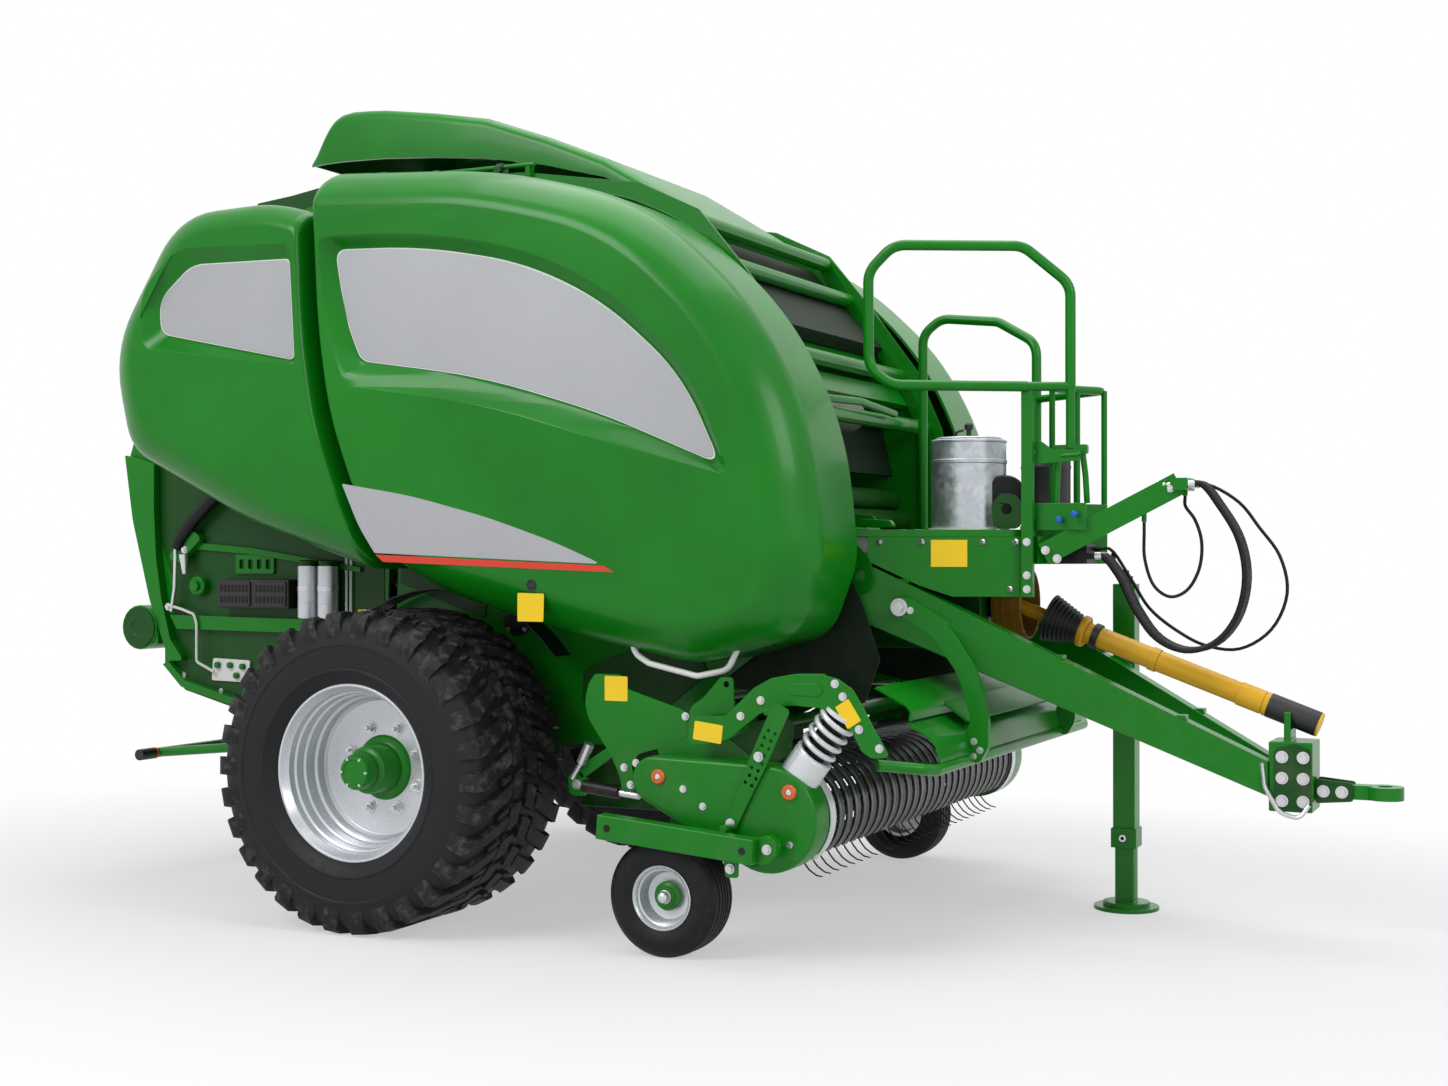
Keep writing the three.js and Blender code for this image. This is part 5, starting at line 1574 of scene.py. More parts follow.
@dataclass
class Hood(Assembly):
    """Rounded hood over the chamber, open beneath."""

    half: float = 480
    corner: float = 46
    gauge: float = 16
    ridge: tuple[Point2, ...] = ((-874, 3024), (-866, 3044), (-840, 3084), (-800, 3142), (-770, 3183), (-745, 3208),
                                 (-712, 3225), (-660, 3232), (-580, 3229), (-490, 3222), (-250, 3186), (0, 3140),
                                 (280, 3040), (551, 2929), (740, 2813), (870, 2732), (915, 2703), (929, 2696))

    def skirt(self, x: float) -> float:
        """Height of the hood's lower edge."""
        spots = [(-874, 3016), (-700, 3020), (-400, 3013), (0, 2972), (300, 2917), (551, 2852), (760, 2756),
                 (900, 2690), (930, 2690)]
        for (a, low), (b, high) in zip(spots, spots[1:]):
            if a <= x <= b:
                return low + (high - low) * (x - a) / (b - a)
        return spots[-1][1]

    def section(self, x: float, top: float) -> list[tuple[float, float, float]]:
        """Section of the shell across the machine, outer side and then inner side."""
        low = self.skirt(x)
        tall = max(top - low, 4)
        wall = min(self.gauge, tall * 0.35)
        half = self.half - max(0, (x - 700) / 230) ** 2 * 34 - max(0, (-760 - x) / 114) ** 2 * 24

        def side(reach: float, roof: float, bend: float) -> list[tuple[float, float]]:
            """Points of half a section, from the middle outwards and down."""
            arc = [(reach - bend + bend * math.sin(k * math.pi / 12), roof - bend + bend * math.cos(k * math.pi / 12))
                   for k in range(7)]
            return [(reach * 0.5, roof), *arc, (reach, low)]

        outer = side(half, top, min(self.corner, tall * 0.8))
        inner = side(half - wall, top - wall, min(self.corner, tall * 0.8) * 0.7)
        ring = [(-y, z) for y, z in reversed(outer)] + outer + inner[::-1] + [(-y, z) for y, z in inner]
        return [(x, y, z) for y, z in ring]

    def build(self) -> None:
        """Makes the shell."""
        shell = Form().loft([self.section(x, z) for x, z in self.ridge])
        shell.piece("hood_shell", GREEN, "chassis", Slot.GREEN, stands_for=["top_hood"])
        refined("hood_stand", SHADE, 2.0)

    def dress(self) -> None:
        """Adds the folds under the hood's edges and the bolts beside it."""
        rib = Form().tube([(-760, 462, 3034), (-400, 462, 3024), (0, 462, 2984), (551, 462, 2862), (880, 452, 2706)],
                          5, 10, 120)
        rib.pair("hood_rib", SHADE, "chassis", Slot.GREEN)
        for name, side in SIDES:
            spots = [((x, side * 560, 2890 - 0.11 * x - 16), (0, 0, 1)) for x in (-180, 20, 220)]
            bolts(f"arch_bolts_{name}", "chassis", spots, 9)


@dataclass
class Chassis(Assembly):
    """Frame, chamber sides, front tubes, rollers and belts."""

    wall: float = 640

    def build(self) -> None:
        """Refines the frame's sheet metal."""
        refined("chassis_frame", SHADE, 4.0)
        refined("axle_beam", SHADE, 4.0)
        for name, _ in SIDES:
            refined(f"chamber_wall_{name}", GREEN, 2.0)
            refined(f"drawbar_beam_{name}", GREEN, 7.0)
        refined("front_frame", GREEN, 3.0)
        refined("tailgate_pivot_shaft", STEEL, 2.0)
        refined("front_rollers", GREEN, 2.0)
        # The front belt band takes the darkened belt rubber: painted shade inside the chamber.
        refined("front_belt_band", SHADED_BELT, 1.5)
        refined("gearbox", SHADE, 8.0)

    def dress(self) -> None:
        """Adds front cross members, arch plates, a net roll, a filler cap, mudguards and bolts."""
        self.front()
        self.sides()
        self.bearings()
        self.drawbar()
        self.gear_case()

    def front(self) -> None:
        """Channels, feed rollers and the net roll between the chamber walls."""
        end = self.wall - 13
        channels = Form()
        for x, z, tilt in ((1010, 2500, 0.5), (1222, 2290, 0.7), (1300, 2190, 0.8), (1420, 2040, 1.0)):
            c, s = math.cos(tilt), math.sin(tilt)
            outline = [(-46, 0), (46, 0), (46, -26), (42, -26), (42, -4), (-42, -4), (-42, -26), (-46, -26)]
            channels.plate([(x - 30 + a * c + b * s, z - a * s + b * c) for a, b in outline], -end, end)
        channels.piece("front_channels", GREEN, "chassis", Slot.GREEN, 1.5)
        # The inner sheets and the trough are near-black green: painted shade inside the front of the chamber.
        inner = Form().plate([(930, 2560), (1260, 2210), (1300, 2250), (968, 2600)], -end + 4, end - 4)
        inner.plate([(1240, 2030), (1330, 1700), (1345, 1705), (1262, 2040)], -end + 4, end - 4)
        inner.piece("front_inner_sheets", GLOOM, "chassis", Slot.DARK, 1.5)
        trough = Form().plate([(1085, 905), (1110, 1000), (1190, 1180), (1330, 1290), (1326, 1296), (1182, 1186),
                               (1102, 1004), (1077, 907)], -611, 611)
        trough.rod((1240, -608, 1010), (1240, 608, 1010), 70, 24)
        trough.piece("intake_trough", GLOOM, "chassis", Slot.DARK)
        roll = Form().lathe([(22, -470), (66, -470), (66, 120), (22, 120)], (1350, 0, 1930), 48)
        roll.piece("net_roll", NET, "chassis", bevel=3.0)
        spindle = Form().lathe([(0, -end), (21, -end), (21, end), (0, end)], (1350, 0, 1930), 24)
        spindle.piece("net_spindle", GREEN, "chassis", Slot.GREEN)
        low = Form()
        for x, z in ((1330, 1600), (1380, 1512)):
            low.lathe([(0, -end), (46, -end), (46, end), (0, end)], (x, 0, z), 32)
        low.piece("feed_rollers", SHADE, "chassis", Slot.DARK, 1.5)
        lever = Form().tube([(1486, -596, 1934), (1500, -560, 1950), (1530, -220, 1956), (1540, 120, 1930)], 15, 14, 60)
        lever.lathe([(0, 0), (26, 0), (26, 40), (0, 40)], (1496, -600, 1904), 24)
        lever.piece("net_lever", GREEN, "chassis", Slot.GREEN)
        up, mouth = (0, 0, 1), (1560, -560, 1690)
        cap = Form().lathe([(0, 0), (44, 0), (48, 6), (48, 22), (40, 30), (0, 30)], mouth, 32, up)
        cap.piece("tank_cap", BLUE, "chassis", bevel=1.5)
        neck = Form().lathe([(0, -96), (38, -96), (38, -26), (44, -22), (44, -2), (0, -2)], mouth, 32, up)
        neck.box(1500, 1600, -604, -520, 1560, 1596)
        neck.piece("tank_neck", WHITE, "chassis", bevel=2.0)
        strap = Form().box(1440, 1600, -626, -500, 1466, 1560)
        strap.piece("tank_base", SHADE, "chassis", Slot.DARK, 10.0)
        label = Form().box(1442, 1622, -553.4, -552.1, 1440, 1463)
        label.piece("deck_label", PALE, "chassis")
        folds = Form().plate([(1340, 1300), (1440, 1330), (1440, 1352), (1338, 1318)], -end, end)
        folds.box(1450, 1640, -548, -300, 1466, 1474)
        folds.plate(filleted([(1470, 1474), (1660, 1474), (1620, 1520), (1510, 1530)], 20, 4), -330, -322)
        folds.plate(filleted([(1600, 1474), (1760, 1474), (1740, 1500), (1630, 1506)], 12, 4), -470, -440)
        folds.piece("deck_fittings", GREEN, "chassis", Slot.GREEN, 2.0)

    def sides(self) -> None:
        """Arched strips, mudguards, plates and labels on the chamber's sides."""
        w = self.wall
        arch = [(-330, 2842), (-200, 2852), (300, 2800), (760, 2722), (1030, 2602), (1230, 2382), (1440, 2108),
                (1548, 1880), (1586, 1700)]
        rim = filleted(arch, 700, 6, False)
        rings = []
        for k, (x, z) in enumerate(rim):
            a = Vector(rim[max(k - 1, 0)])
            b = Vector(rim[min(k + 1, len(rim) - 1)])
            along = (b - a).normalized()
            nx, nz = -along.y, along.x
            rings.append([(x, w + 1, z), (x, w + 46, z), (x + nx * 5, w + 46, z + nz * 5),
                          (x + nx * 5, w + 1, z + nz * 5)])
        Form().loft(rings).pair("wall_arch", GREEN, "chassis", Slot.GREEN, 1.0)
        guard = Form()
        rings = []
        for k in range(15):
            a = math.radians(38 + k * 9.0)
            c, s = math.cos(a), math.sin(a)
            rings.append([(655 * c, 668, 585 + 655 * s), (655 * c, 788, 585 + 655 * s),
                          (659 * c, 788, 585 + 659 * s), (659 * c, 668, 585 + 659 * s)])
        guard.loft(rings).box(-20, 20, 641, 700, 1236, 1250)
        guard.pair("mudguard", BLACK_PLASTIC, "chassis", Slot.BLACK)
        plates = Form()
        plates.plate(filleted([(-290, 1260), (-60, 1180), (120, 1120), (120, 1200), (-40, 1290), (-250, 1420)],
                              20, 4), w + 1, w + 9)
        plates.plate(filleted([(560, 800), (860, 760), (1090, 930), (1060, 1010), (760, 1010), (560, 930)], 30, 4),
                     w + 1, w + 10)
        plates.plate(filleted([(1180, 1090), (1520, 1190), (1590, 1290), (1590, 1480), (1400, 1480), (1200, 1300)],
                              40, 4), w + 1, w + 8)
        plates.pair("side_plates", SHADE, "chassis", Slot.DARK, 1.5)
        # Near-black sheet beside the intake: painted shade inside the machine.
        wing = Form().plate(filleted([(1090, 1250), (1300, 1400), (1600, 1400), (1700, 1180), (1760, 1000), (1700, 840),
                                      (1400, 840), (1120, 900)], 20, 3), 612, 618)
        wing.pair("intake_side", GLOOM, "chassis", Slot.DARK, 1.0)
        label = Form().box(1180, 1230, w + 9, w + 10.4, 1230, 1270)
        label.pair("side_label", LABEL, "chassis")

    def bearings(self) -> None:
        """Bearing housings of the chamber's rollers, on the outside of its walls."""
        housings, spots = Form(), []
        for x, z in ((265, 1120), (505, 1510), (520, 1960), (330, 2380), (1440, 1600), (1220, 1180), (980, 1400)):
            housings.lathe([(0, 641), (62, 641), (62, 650), (40, 654), (34, 668), (0, 668)], (x, 0, z), 36)
            for k in range(4):
                a = math.pi / 4 + k * math.pi / 2
                spots.append((x + 50 * math.cos(a), 650, z + 50 * math.sin(a)))
        housings.pair("bearings", BLACK, "chassis", Slot.BLACK, 1.0)
        bolt_pair("bearing_bolts", "chassis", spots, 8)
        wheel = Form().lathe([(20, 644), (150, 644), (150, 660), (132, 664), (40, 664), (40, 680), (20, 680)],
                             (1010, 0, 1240), 64)
        wheel.lathe([(16, 644), (92, 644), (92, 660), (80, 664), (16, 664)], (1290, 0, 1360), 48)
        wheel.pair("sprockets", STEEL, "chassis", bevel=1.0)

    def beam(self, share: float) -> tuple[float, float, float]:
        """Point of the left drawbar beam's line, 0 at its root and 1 at the hitch."""
        return 1560 + 1460 * share, 566 - 466 * share, 1287 - 703 * share

    def drawbar(self) -> None:
        """Plates and bolts of the hitch, with the chain, the hoses and the lugs on the beams."""
        refined("hitch_head", GREEN, 5.0)
        refined("towing_eye", GREEN, 4.0)
        plates = Form()
        for side in (-1, 1):
            y = sorted((side * 90.5, side * 98))
            plates.plate(filleted([(3040, 480), (3168, 480), (3168, 690), (3110, 712), (3040, 690)], 24, 4), *y)
            y = sorted((side * 30.5, side * 40))
            plates.plate(filleted([(3172, 500), (3300, 512), (3300, 576), (3172, 588)], 12, 4), *y)
        plates.piece("hitch_plates", SHADE, "chassis", Slot.GREEN, 2.0)
        spots = [((x, side * 98, z), (0, side, 0)) for side in (-1, 1)
                 for x, z in ((3068, 510), (3068, 590), (3068, 664), (3140, 510), (3140, 590), (3140, 664))]
        spots += [((x, side * 40, z), (0, side, 0)) for side in (-1, 1) for x, z in ((3200, 544), (3262, 544))]
        bolts("hitch_bolts", "chassis", spots, 15)
        chain = Form().tube([(3000, -104, 640), (3010, -112, 560), (3060, -116, 470), (3130, -114, 450),
                             (3160, -104, 500)], 8, 8, 60)
        chain.piece("safety_chain", STEEL, "chassis")
        lines = Form()
        for k in range(3):
            spine = [self.beam(t) for t in (0.05, 0.3, 0.6, 0.93)]
            lines.tube([(x, 92 - y, z + 34 - 24 * k) for x, y, z in spine], 8, 10, 40)
        lines.piece("drawbar_hoses", HOSE, "chassis", Slot.RUBBER)
        lugs = Form()
        for side in (-1, 1):
            for t in (0.16, 0.52, 0.8):
                x, y, z = self.beam(t)
                z += 113 - 51.5 * t
                lugs.box(x - 22, x + 22, *sorted((side * (y - 60), side * (y - 8))), z - 8, z + 8)
        lugs.piece("drawbar_lugs", GREEN, "chassis", Slot.GREEN, 2.0)

    def gear_case(self) -> None:
        """Yellow shaft bell, its ribs and the gear case's bolts."""
        refined("gearbox_bell", OCHRE, 1.5)
        ribs = Form()
        for x, r in ((2030, 121.5), (2060, 125), (2095, 129), (2126, 133.6)):
            ribs.lathe([(r - 4, -4), (r, -3), (r, 3), (r - 4, 4)], (x, 0, 1190), 48, (1, 0, 0))
        ribs.piece("bell_ribs", OCHRE, "chassis", Slot.YELLOW)
        spots = [((1990, y, z), (1, 0, 0)) for y in (-140, 140) for z in (1050, 1350)]
        spots += [((1990, 84 * math.cos(a), 1190 + 84 * math.sin(a)), (1, 0, 0)) for a in (0.8, 2.4, 3.9, 5.5)]
        bolts("gear_case_bolts", "chassis", spots, 12)


@dataclass
class Platform(Assembly):
    """Loading deck with its handrails, canister, tanks and fittings."""

    rail: float = 19
    near: Point2 = (2214, -300)
    nose: Point2 = (2424, 0)
    far: Point2 = (2060, 320)
    deck: float = 1465.5
    knee: float = 1980

    def build(self) -> None:
        """Makes the deck and the rails."""
        refined("platform", GREEN, 2.0)
        knee = self.knee
        loop = [(2216, -330, knee), (1779, -552, 1984), (1692, -552, 2050), (1690, -552, 2397), (1787, -552, 2487),
                (2200, -330, 2487), (2356, -262, 2347), (2356, -262, 1975)]
        near = Form().tube(loop, self.rail, 20, 95)
        near.tube([(2190, -343, knee), (2300, -287, knee), (2362, -262, knee)], self.rail - 2, 18, 60)
        near.box(2194, 2236, -334, -309, 1222, knee)
        near.rod((2356, -262, 1984), (2356, -262, 1756), 17, 18)
        near.plate(filleted([(2290, 1770), (2420, 1770), (2420, 1736), (2290, 1736)], 8, 3), -272, -252)
        near.tube([(2310, -260, 1752), (2306, -256, 1660), (2300, -252, 1562)], 11, 14, 40)
        near.tube([(2398, -258, 1752), (2404, -236, 1660), (2404, -214, 1562)], 11, 14, 40)
        near.piece("near_handrail", GREEN, "chassis", Slot.GREEN, stands_for=["handrail_right"])
        far = [(1570, 370, 1466), (1570, 370, 2270), (1650, 370, 2330), (1900, 330, 2300)]
        front = self.edge(self.nose, self.far, 0.9, -30)
        far += [(*front, 2200), (*front, 1466)]
        corner = self.edge(self.near, self.nose, 0.97, -5)
        first = self.edge(self.near, self.nose, 0.3, -5)
        rails = Form().tube(far, self.rail, 18, 90)
        rails.tube([(*first, knee), (*corner, knee), (*front, knee)], 15, 14, 40)
        middle = self.edge(self.near, self.nose, 0.62, -5)
        other = self.edge(self.nose, self.far, 0.4, -7)
        for spot in (first, middle, corner, other):
            rails.rod((*spot, 1560.5), (*spot, knee), 11, 14)
        rails.piece("far_guard_rails", GREEN, "chassis", Slot.GREEN, stands_for=["guard_rails"])

    def edge(self, start: Point2, end: Point2, share: float, outward: float) -> Point2:
        """Point beside a line of the deck's edge."""
        a, b = Vector(start), Vector(end)
        along = (b - a).normalized()
        spot = a.lerp(b, share)
        return (spot.x + along.y * outward, spot.y - along.x * outward)

    def dress(self) -> None:
        """Adds the vessels and the brackets."""
        self.vessels()
        self.brackets()

    def vessels(self) -> None:
        """Galvanised canister with its lid, and the black tank."""
        up, spot = (0, 0, 1), (1950, -190, self.deck)
        body = [(0, 0), (132, 0), (138, 6), (138, 244), (141, 247), (141, 258), (138, 261), (138, 322), (141, 325),
                (141, 331), (134, 335), (0, 335)]
        can = Form().lathe(body, spot, 80, up)
        can.piece("canister_body", ZINC, "chassis", Slot.ZINC, 0.8, ["canister"])
        lid = Form().lathe([(0, 335.5), (120, 335.5), (124, 339), (118, 343), (60, 343.5), (0, 344)], spot, 64, up)
        lid.piece("canister_lid", ZINC, "chassis", Slot.ZINC, 0.8)
        knob = Form().lathe([(0, 344), (9, 344), (9, 370), (16, 376), (16, 392), (8, 399), (0, 399)], spot, 20, up)
        knob.tube([(1900, -190, 1809), (1900, -190, 1832), (1930, -190, 1838)], 5, 8, 14)
        knob.piece("canister_knob", BLACK_PLASTIC, "chassis", Slot.BLACK)
        seam = Form().box(1946, 1954, -330.6, -327.6, 1470, 1708)
        seam.piece("canister_seam", ZINC, "chassis", Slot.ZINC, 1.0)
        foot = Form().lathe([(139, 0), (150, 0), (150, 8), (139, 8)], spot, 64, up)
        foot.piece("canister_foot", PALE, "chassis")
        x, y = self.edge(self.nose, self.far, 0.5, -112)
        tank = [(0, 0), (97, 0), (97, 14), (93, 20), (93, 60), (95, 64), (95, 70), (93, 74), (93, 232), (95, 236),
                (95, 242), (93, 246), (93, 284), (84, 298), (60, 303), (0, 303)]
        barrel = Form().lathe(tank, (x, y, self.deck), 56, up)
        barrel.piece("round_tank", BLACK_PLASTIC, "chassis", Slot.BLACK, 0.8, ["side_tank"])
        drum = Form().lathe([(0, 0), (70, 0), (76, 8), (76, 140), (70, 148), (0, 148)], (2110, -250, 1590), 40,
                            (-0.35, 0.93, 0.0))
        drum.piece("reservoir", BLACK, "chassis", Slot.BLACK, 1.5)

    def brackets(self) -> None:
        """Hook plate, kidney bracket, slotted bracket, labels and bolts."""
        slope = 252 / 574

        def skirt(x: float, out: float) -> float:
            """Place across the machine of the skirt's face, moved outwards."""
            return -(552 - (x - 1640) * slope) - out

        hook = Form().plate(filleted([(2236, 1700), (2400, 1712), (2404, 1750), (2300, 1752), (2236, 1800)], 18, 4),
                            -300, -292)
        hook.tube([(2330, -298, 1730), (2392, -300, 1733), (2404, -300, 1740)], 7, 12)
        hook.piece("hook_bracket", GREEN, "chassis", Slot.GREEN, 1.0)
        kidney = Form().plate(filleted([(2080, 1468), (2180, 1468), (2196, 1530), (2170, 1590), (2110, 1600),
                                        (2072, 1560)], 34, 6), -304, -298, [circle(2130, 1540, 20)])
        kidney.piece("kidney_bracket", SHADE, "chassis", Slot.GREEN, 1.0)
        oval = Form().plate(filleted([(1560, 1300), (1668, 1220), (1718, 1262), (1700, 1360), (1640, 1420),
                                      (1570, 1400)], 46, 6), -563, -556,
                            [circle(1640, 1366, 14), circle(1664, 1300, 18)])
        oval.piece("oval_bracket", GREEN, "chassis", Slot.GREEN, 1.0)
        label = Form()
        points = [(x, skirt(x, out), z) for out in (0.6, 2.0) for x, z in ((1890, 1330), (2010, 1330), (2010, 1428),
                                                                         (1890, 1428))]
        label.add(points, [(0, 1, 2, 3), (7, 6, 5, 4), (0, 4, 5, 1), (1, 5, 6, 2), (2, 6, 7, 3), (3, 7, 4, 0)])
        label.piece("deck_side_label", LABEL, "chassis")
        spots = [((2215, -334, z), (0, -1, 0)) for z in (1250, 1300, 1420)]
        spots += [((x, skirt(x, 0.5), z), (-0.4, -0.92, 0)) for x, z in ((1720, 1420), (1860, 1420), (2060, 1420),
                                                                       (2170, 1420), (2150, 1250))]
        bolts("platform_bolts", "chassis", spots, 10)
        steps = Form()
        for k in range(7):
            steps.box(1700 + k * 62, 1722 + k * 62, -250 - k * 2, 180, 1465.2, 1468)
        steps.piece("deck_treads", ZINC, "chassis", Slot.ZINC, 0.8)
        vee = Form().box(2236, 2420, -292, -284, 1462, 1560)
        fitting = Form()
        for x, z in ((2330, 1500), (2386, 1520)):
            fitting.lathe([(0, 0), (11, 0), (11, 30), (8, 34), (0, 34)], (x, -304, z), 16, (0, -1, 0))
        fitting.piece("deck_couplings", BLUE, "chassis")
        vee.piece("deck_front_plate", GREEN, "chassis", Slot.GREEN, 2.0)


@dataclass
class Jack(Assembly):
    """Parking jack beside the drawbar."""

    x: float = 2405
    y: float = 364.8

    def build(self) -> None:
        """Refines the sleeve and the leg."""
        refined("jack_sleeve", GREEN, 4.0)
        refined("jack_leg", GREEN, 2.5)

    def dress(self) -> None:
        """Adds the crank and the pin."""
        crank = Form().rod((self.x, self.y, 1260), (self.x, self.y, 1290), 26, 24)
        crank.rod((self.x, self.y, 1285), (self.x, self.y, 1312), 12, 18)
        crank.tube([(self.x, self.y, 1306), (self.x - 60, self.y + 40, 1306), (self.x - 60, self.y + 40, 1380)], 9, 12,
                   16)
        crank.piece("jack_crank", BLACK, "chassis", Slot.BLACK)
        pin = Form().rod((self.x, self.y - 66, 280), (self.x, self.y + 66, 280), 8, 16)
        pin.rod((self.x, self.y - 66, 280), (self.x, self.y - 52, 280), 14, 20)
        pin.piece("jack_pin", STEEL, "chassis", bevel=1.0)


@dataclass
class DriveShaft(Assembly):
    """Guarded drive shaft that lies on the hitch."""

    pivot: tuple[float, float, float] = (2060, 0, 1190)
    end: tuple[float, float, float] = (3185, 0, 772)

    def along(self, distance: float) -> Vector:
        """Point on the shaft's line."""
        start = Vector(self.pivot)
        return start + (Vector(self.end) - start).normalized() * distance

    @property
    def axis(self) -> Vector:
        """Direction of the shaft."""
        return (Vector(self.end) - Vector(self.pivot)).normalized()

    def build(self) -> None:
        """Makes the tube and the cone."""
        refined("drive_shaft", YELLOW, 1.5)
        profile = [(42, 151)]
        for k in range(8):
            s, r = 152 + k * 15.5, 91 - k * 4.6
            profile += [(r, s), (r, s + 6), (r - 7, s + 9), (r - 7, s + 13)]
        profile += [(52, 279), (42, 279)]
        cone = Form().lathe(profile, self.pivot, 48, self.axis)
        cone.piece("shaft_cone_ribbed", BLACK_PLASTIC, "shaft", Slot.RUBBER, 0.8, ["drive_shaft_cone"])

    def dress(self) -> None:
        """Adds the rings, the collar and the splined end."""
        rings = Form().lathe([(42, 281), (58, 281), (60, 286), (60, 300), (54, 306), (42, 306)], self.pivot, 40,
                             self.axis)
        rings.lathe([(40.4, 560), (44, 560), (44, 590), (40.4, 590)], self.pivot, 40, self.axis)
        rings.lathe([(40.4, 900), (43.6, 900), (43.6, 990), (40.4, 990)], self.pivot, 40, self.axis)
        rings.piece("shaft_rings", YELLOW, "shaft", Slot.YELLOW, 1.0)
        collar = Form().lathe([(42, 330), (48, 332), (48, 356), (42, 358)], self.pivot, 40, self.axis)
        collar.lathe([(44.3, 1010), (44.8, 1012), (44.8, 1192), (40, 1196), (30, 1196), (30, 1188), (44.3, 1188)],
                     self.pivot, 40, self.axis)
        collar.piece("shaft_collars", BLACK_PLASTIC, "shaft", Slot.RUBBER, 1.0)


# ---- Pickup --------------------------------------------------------------------------------


@dataclass
class Pickup(Assembly):
    """Pickup with its bands, reel, side guards and springs."""

    reel: tuple[float, float] = (1566, 488)
    count: int = 28
    pitch: float = 75
    band: float = 46
    face: float = 1048
    phase: float = 1.3
    spring_row: float = 1092
    ram_row: float = 985

    def build(self) -> None:
        """Makes the bands and the reel."""
        refined("pickup_frame", GREEN, 2.5)
        rx, rz = self.reel
        r = 180.0
        arc = [(rx + r * math.cos(a), rz + r * math.sin(a)) for a in
               (math.radians(108 - k * 9.56) for k in range(17))]
        line = [(1161, rz + 148), (1300, rz + 158), (1420, rz + 168), (1500, rz + 173), *arc]
        rings = []
        first = -((self.count - 1) * self.pitch + self.band) / 2
        for k, (x, z) in enumerate(line):
            a, b = Vector(line[max(k - 1, 0)]), Vector(line[min(k + 1, len(line) - 1)])
            along = (b - a).normalized()
            nx, nz = -along.y, along.x
            section = [(0, -9), (0, -1), (9, 0), (15, -2.2), (31, -2.2), (37, 0), (46, -1), (46, -9), (44, -9),
                       (44, -3), (36, -3), (31, -5), (15, -5), (10, -3), (2, -3), (2, -9)]
            rings.append([(x + nx * d, first + y, z + nz * d) for y, d in section])
        repeated(Form().loft(rings), "curved_bands", BAND, "pickup", self.count, (0, self.pitch, 0),
                 ["stripper_bands"])
        bar = Form().box(1150, 1200, -self.face + 0.5, self.face - 0.5, rz + 118, rz + 142)
        bar.piece("band_bar", GREEN, "pickup", Slot.GREEN, 1.5)
        drum = Form().rod((rx, -1041, rz), (rx, 1041, rz), 32, 28)
        for k in range(5):
            a = 2 * math.pi * k / 5 + self.phase
            x, z = rx + 105 * math.cos(a), rz - 105 * math.sin(a)
            drum.rod((x, -1020, z), (x, 1020, z), 16, 16)
        for y in (-1020, -8, 1004):
            drum.lathe([(0, 0), (128, 0), (128, 16), (0, 16)], (rx, y, rz), 40)
        drum.piece("reel_drum", SHADE, "reel", Slot.DARK, 0.0, ["tine_reel"])
        wires = Form()
        start = (1 - self.count / 2) * self.pitch
        for k in range(5):
            a = 2 * math.pi * k / 5 + self.phase
            path = []
            share = 1.0 if k < 2 else 0.42
            for reach, lag in ((112, 0.0), (140, 0.0), (175, -0.03), (205, -0.09), (230, -0.17), (244, -0.25)):
                radius, lag = 112 + (reach - 112) * share, lag * share
                path.append((rx + radius * math.cos(a + lag), start, rz - radius * math.sin(a + lag)))
            wires.tube(path, [3.2, 3.2, 3.2, 3.2, 3, 2.2], 6)
            x, z = rx + 105 * math.cos(a), rz - 105 * math.sin(a)
            wires.lathe([(16.5, -9), (22, -9), (22, 9), (16.5, 9)], (x, start, z), 12)
        repeated(wires, "reel_tines", BLACK, "reel", self.count - 1, (0, self.pitch, 0))

    def dress(self) -> None:
        """Adds the side guards, springs, rams and fittings."""
        self.guard()
        self.arch()
        self.gauge_bar()
        self.spring()
        self.lift_ram()
        self.side_plate()

    def guard(self) -> None:
        """Chain covers with their caps and bolts."""
        body = "pickup"
        low, high = self.face + 8.3, self.face + 126.3
        centre, big = (1135, 600), self.reel
        tilt = math.atan2(big[1] - centre[1], big[0] - centre[0])
        lean = math.acos((80 - 181) / math.hypot(big[0] - centre[0], big[1] - centre[1]))

        def around(shrink: float) -> list[Point2]:
            """Outline round both shafts, moved inwards."""
            points = []
            for k in range(19):
                a = tilt + lean + (2 * math.pi - 2 * lean) * k / 18
                points.append((centre[0] + (80 - shrink) * math.cos(a), centre[1] + (80 - shrink) * math.sin(a)))
            for k in range(25):
                a = tilt - lean + 2 * lean * k / 24
                points.append((big[0] + (181 - shrink) * math.cos(a), big[1] + (181 - shrink) * math.sin(a)))
            return points

        rings = [(around(0), low), (around(0), high - 12), (around(1.5), high - 6), (around(5), high - 2),
                 (around(10), high - 0.4), (around(15), high)]
        shell = Form().loft([[(x, y, z) for x, z in ring] for ring, y in rings])
        shell.pair("chain_cover", GREEN, body, Slot.GREEN, node="pickup_guard")
        caps = Form()
        seats = Form()
        for x, z in ((1160, 612), (1651, 585)):
            caps.lathe([(12, 0), (26, 0), (26, 6), (22, 11), (12, 12)], (x, high, z), 32)
            seats.lathe([(0, 0), (12, 0), (12, 10), (7, 14), (0, 14)], (x, high, z), 20)
        caps.pair("cover_caps", ORANGE, body)
        seats.pair("cover_cap_screws", STEEL, body)
        bolt_pair("cover_bolts", body, [(x, high, z) for x, z in ((1255, 575), (1652, 410), (1330, 520))])

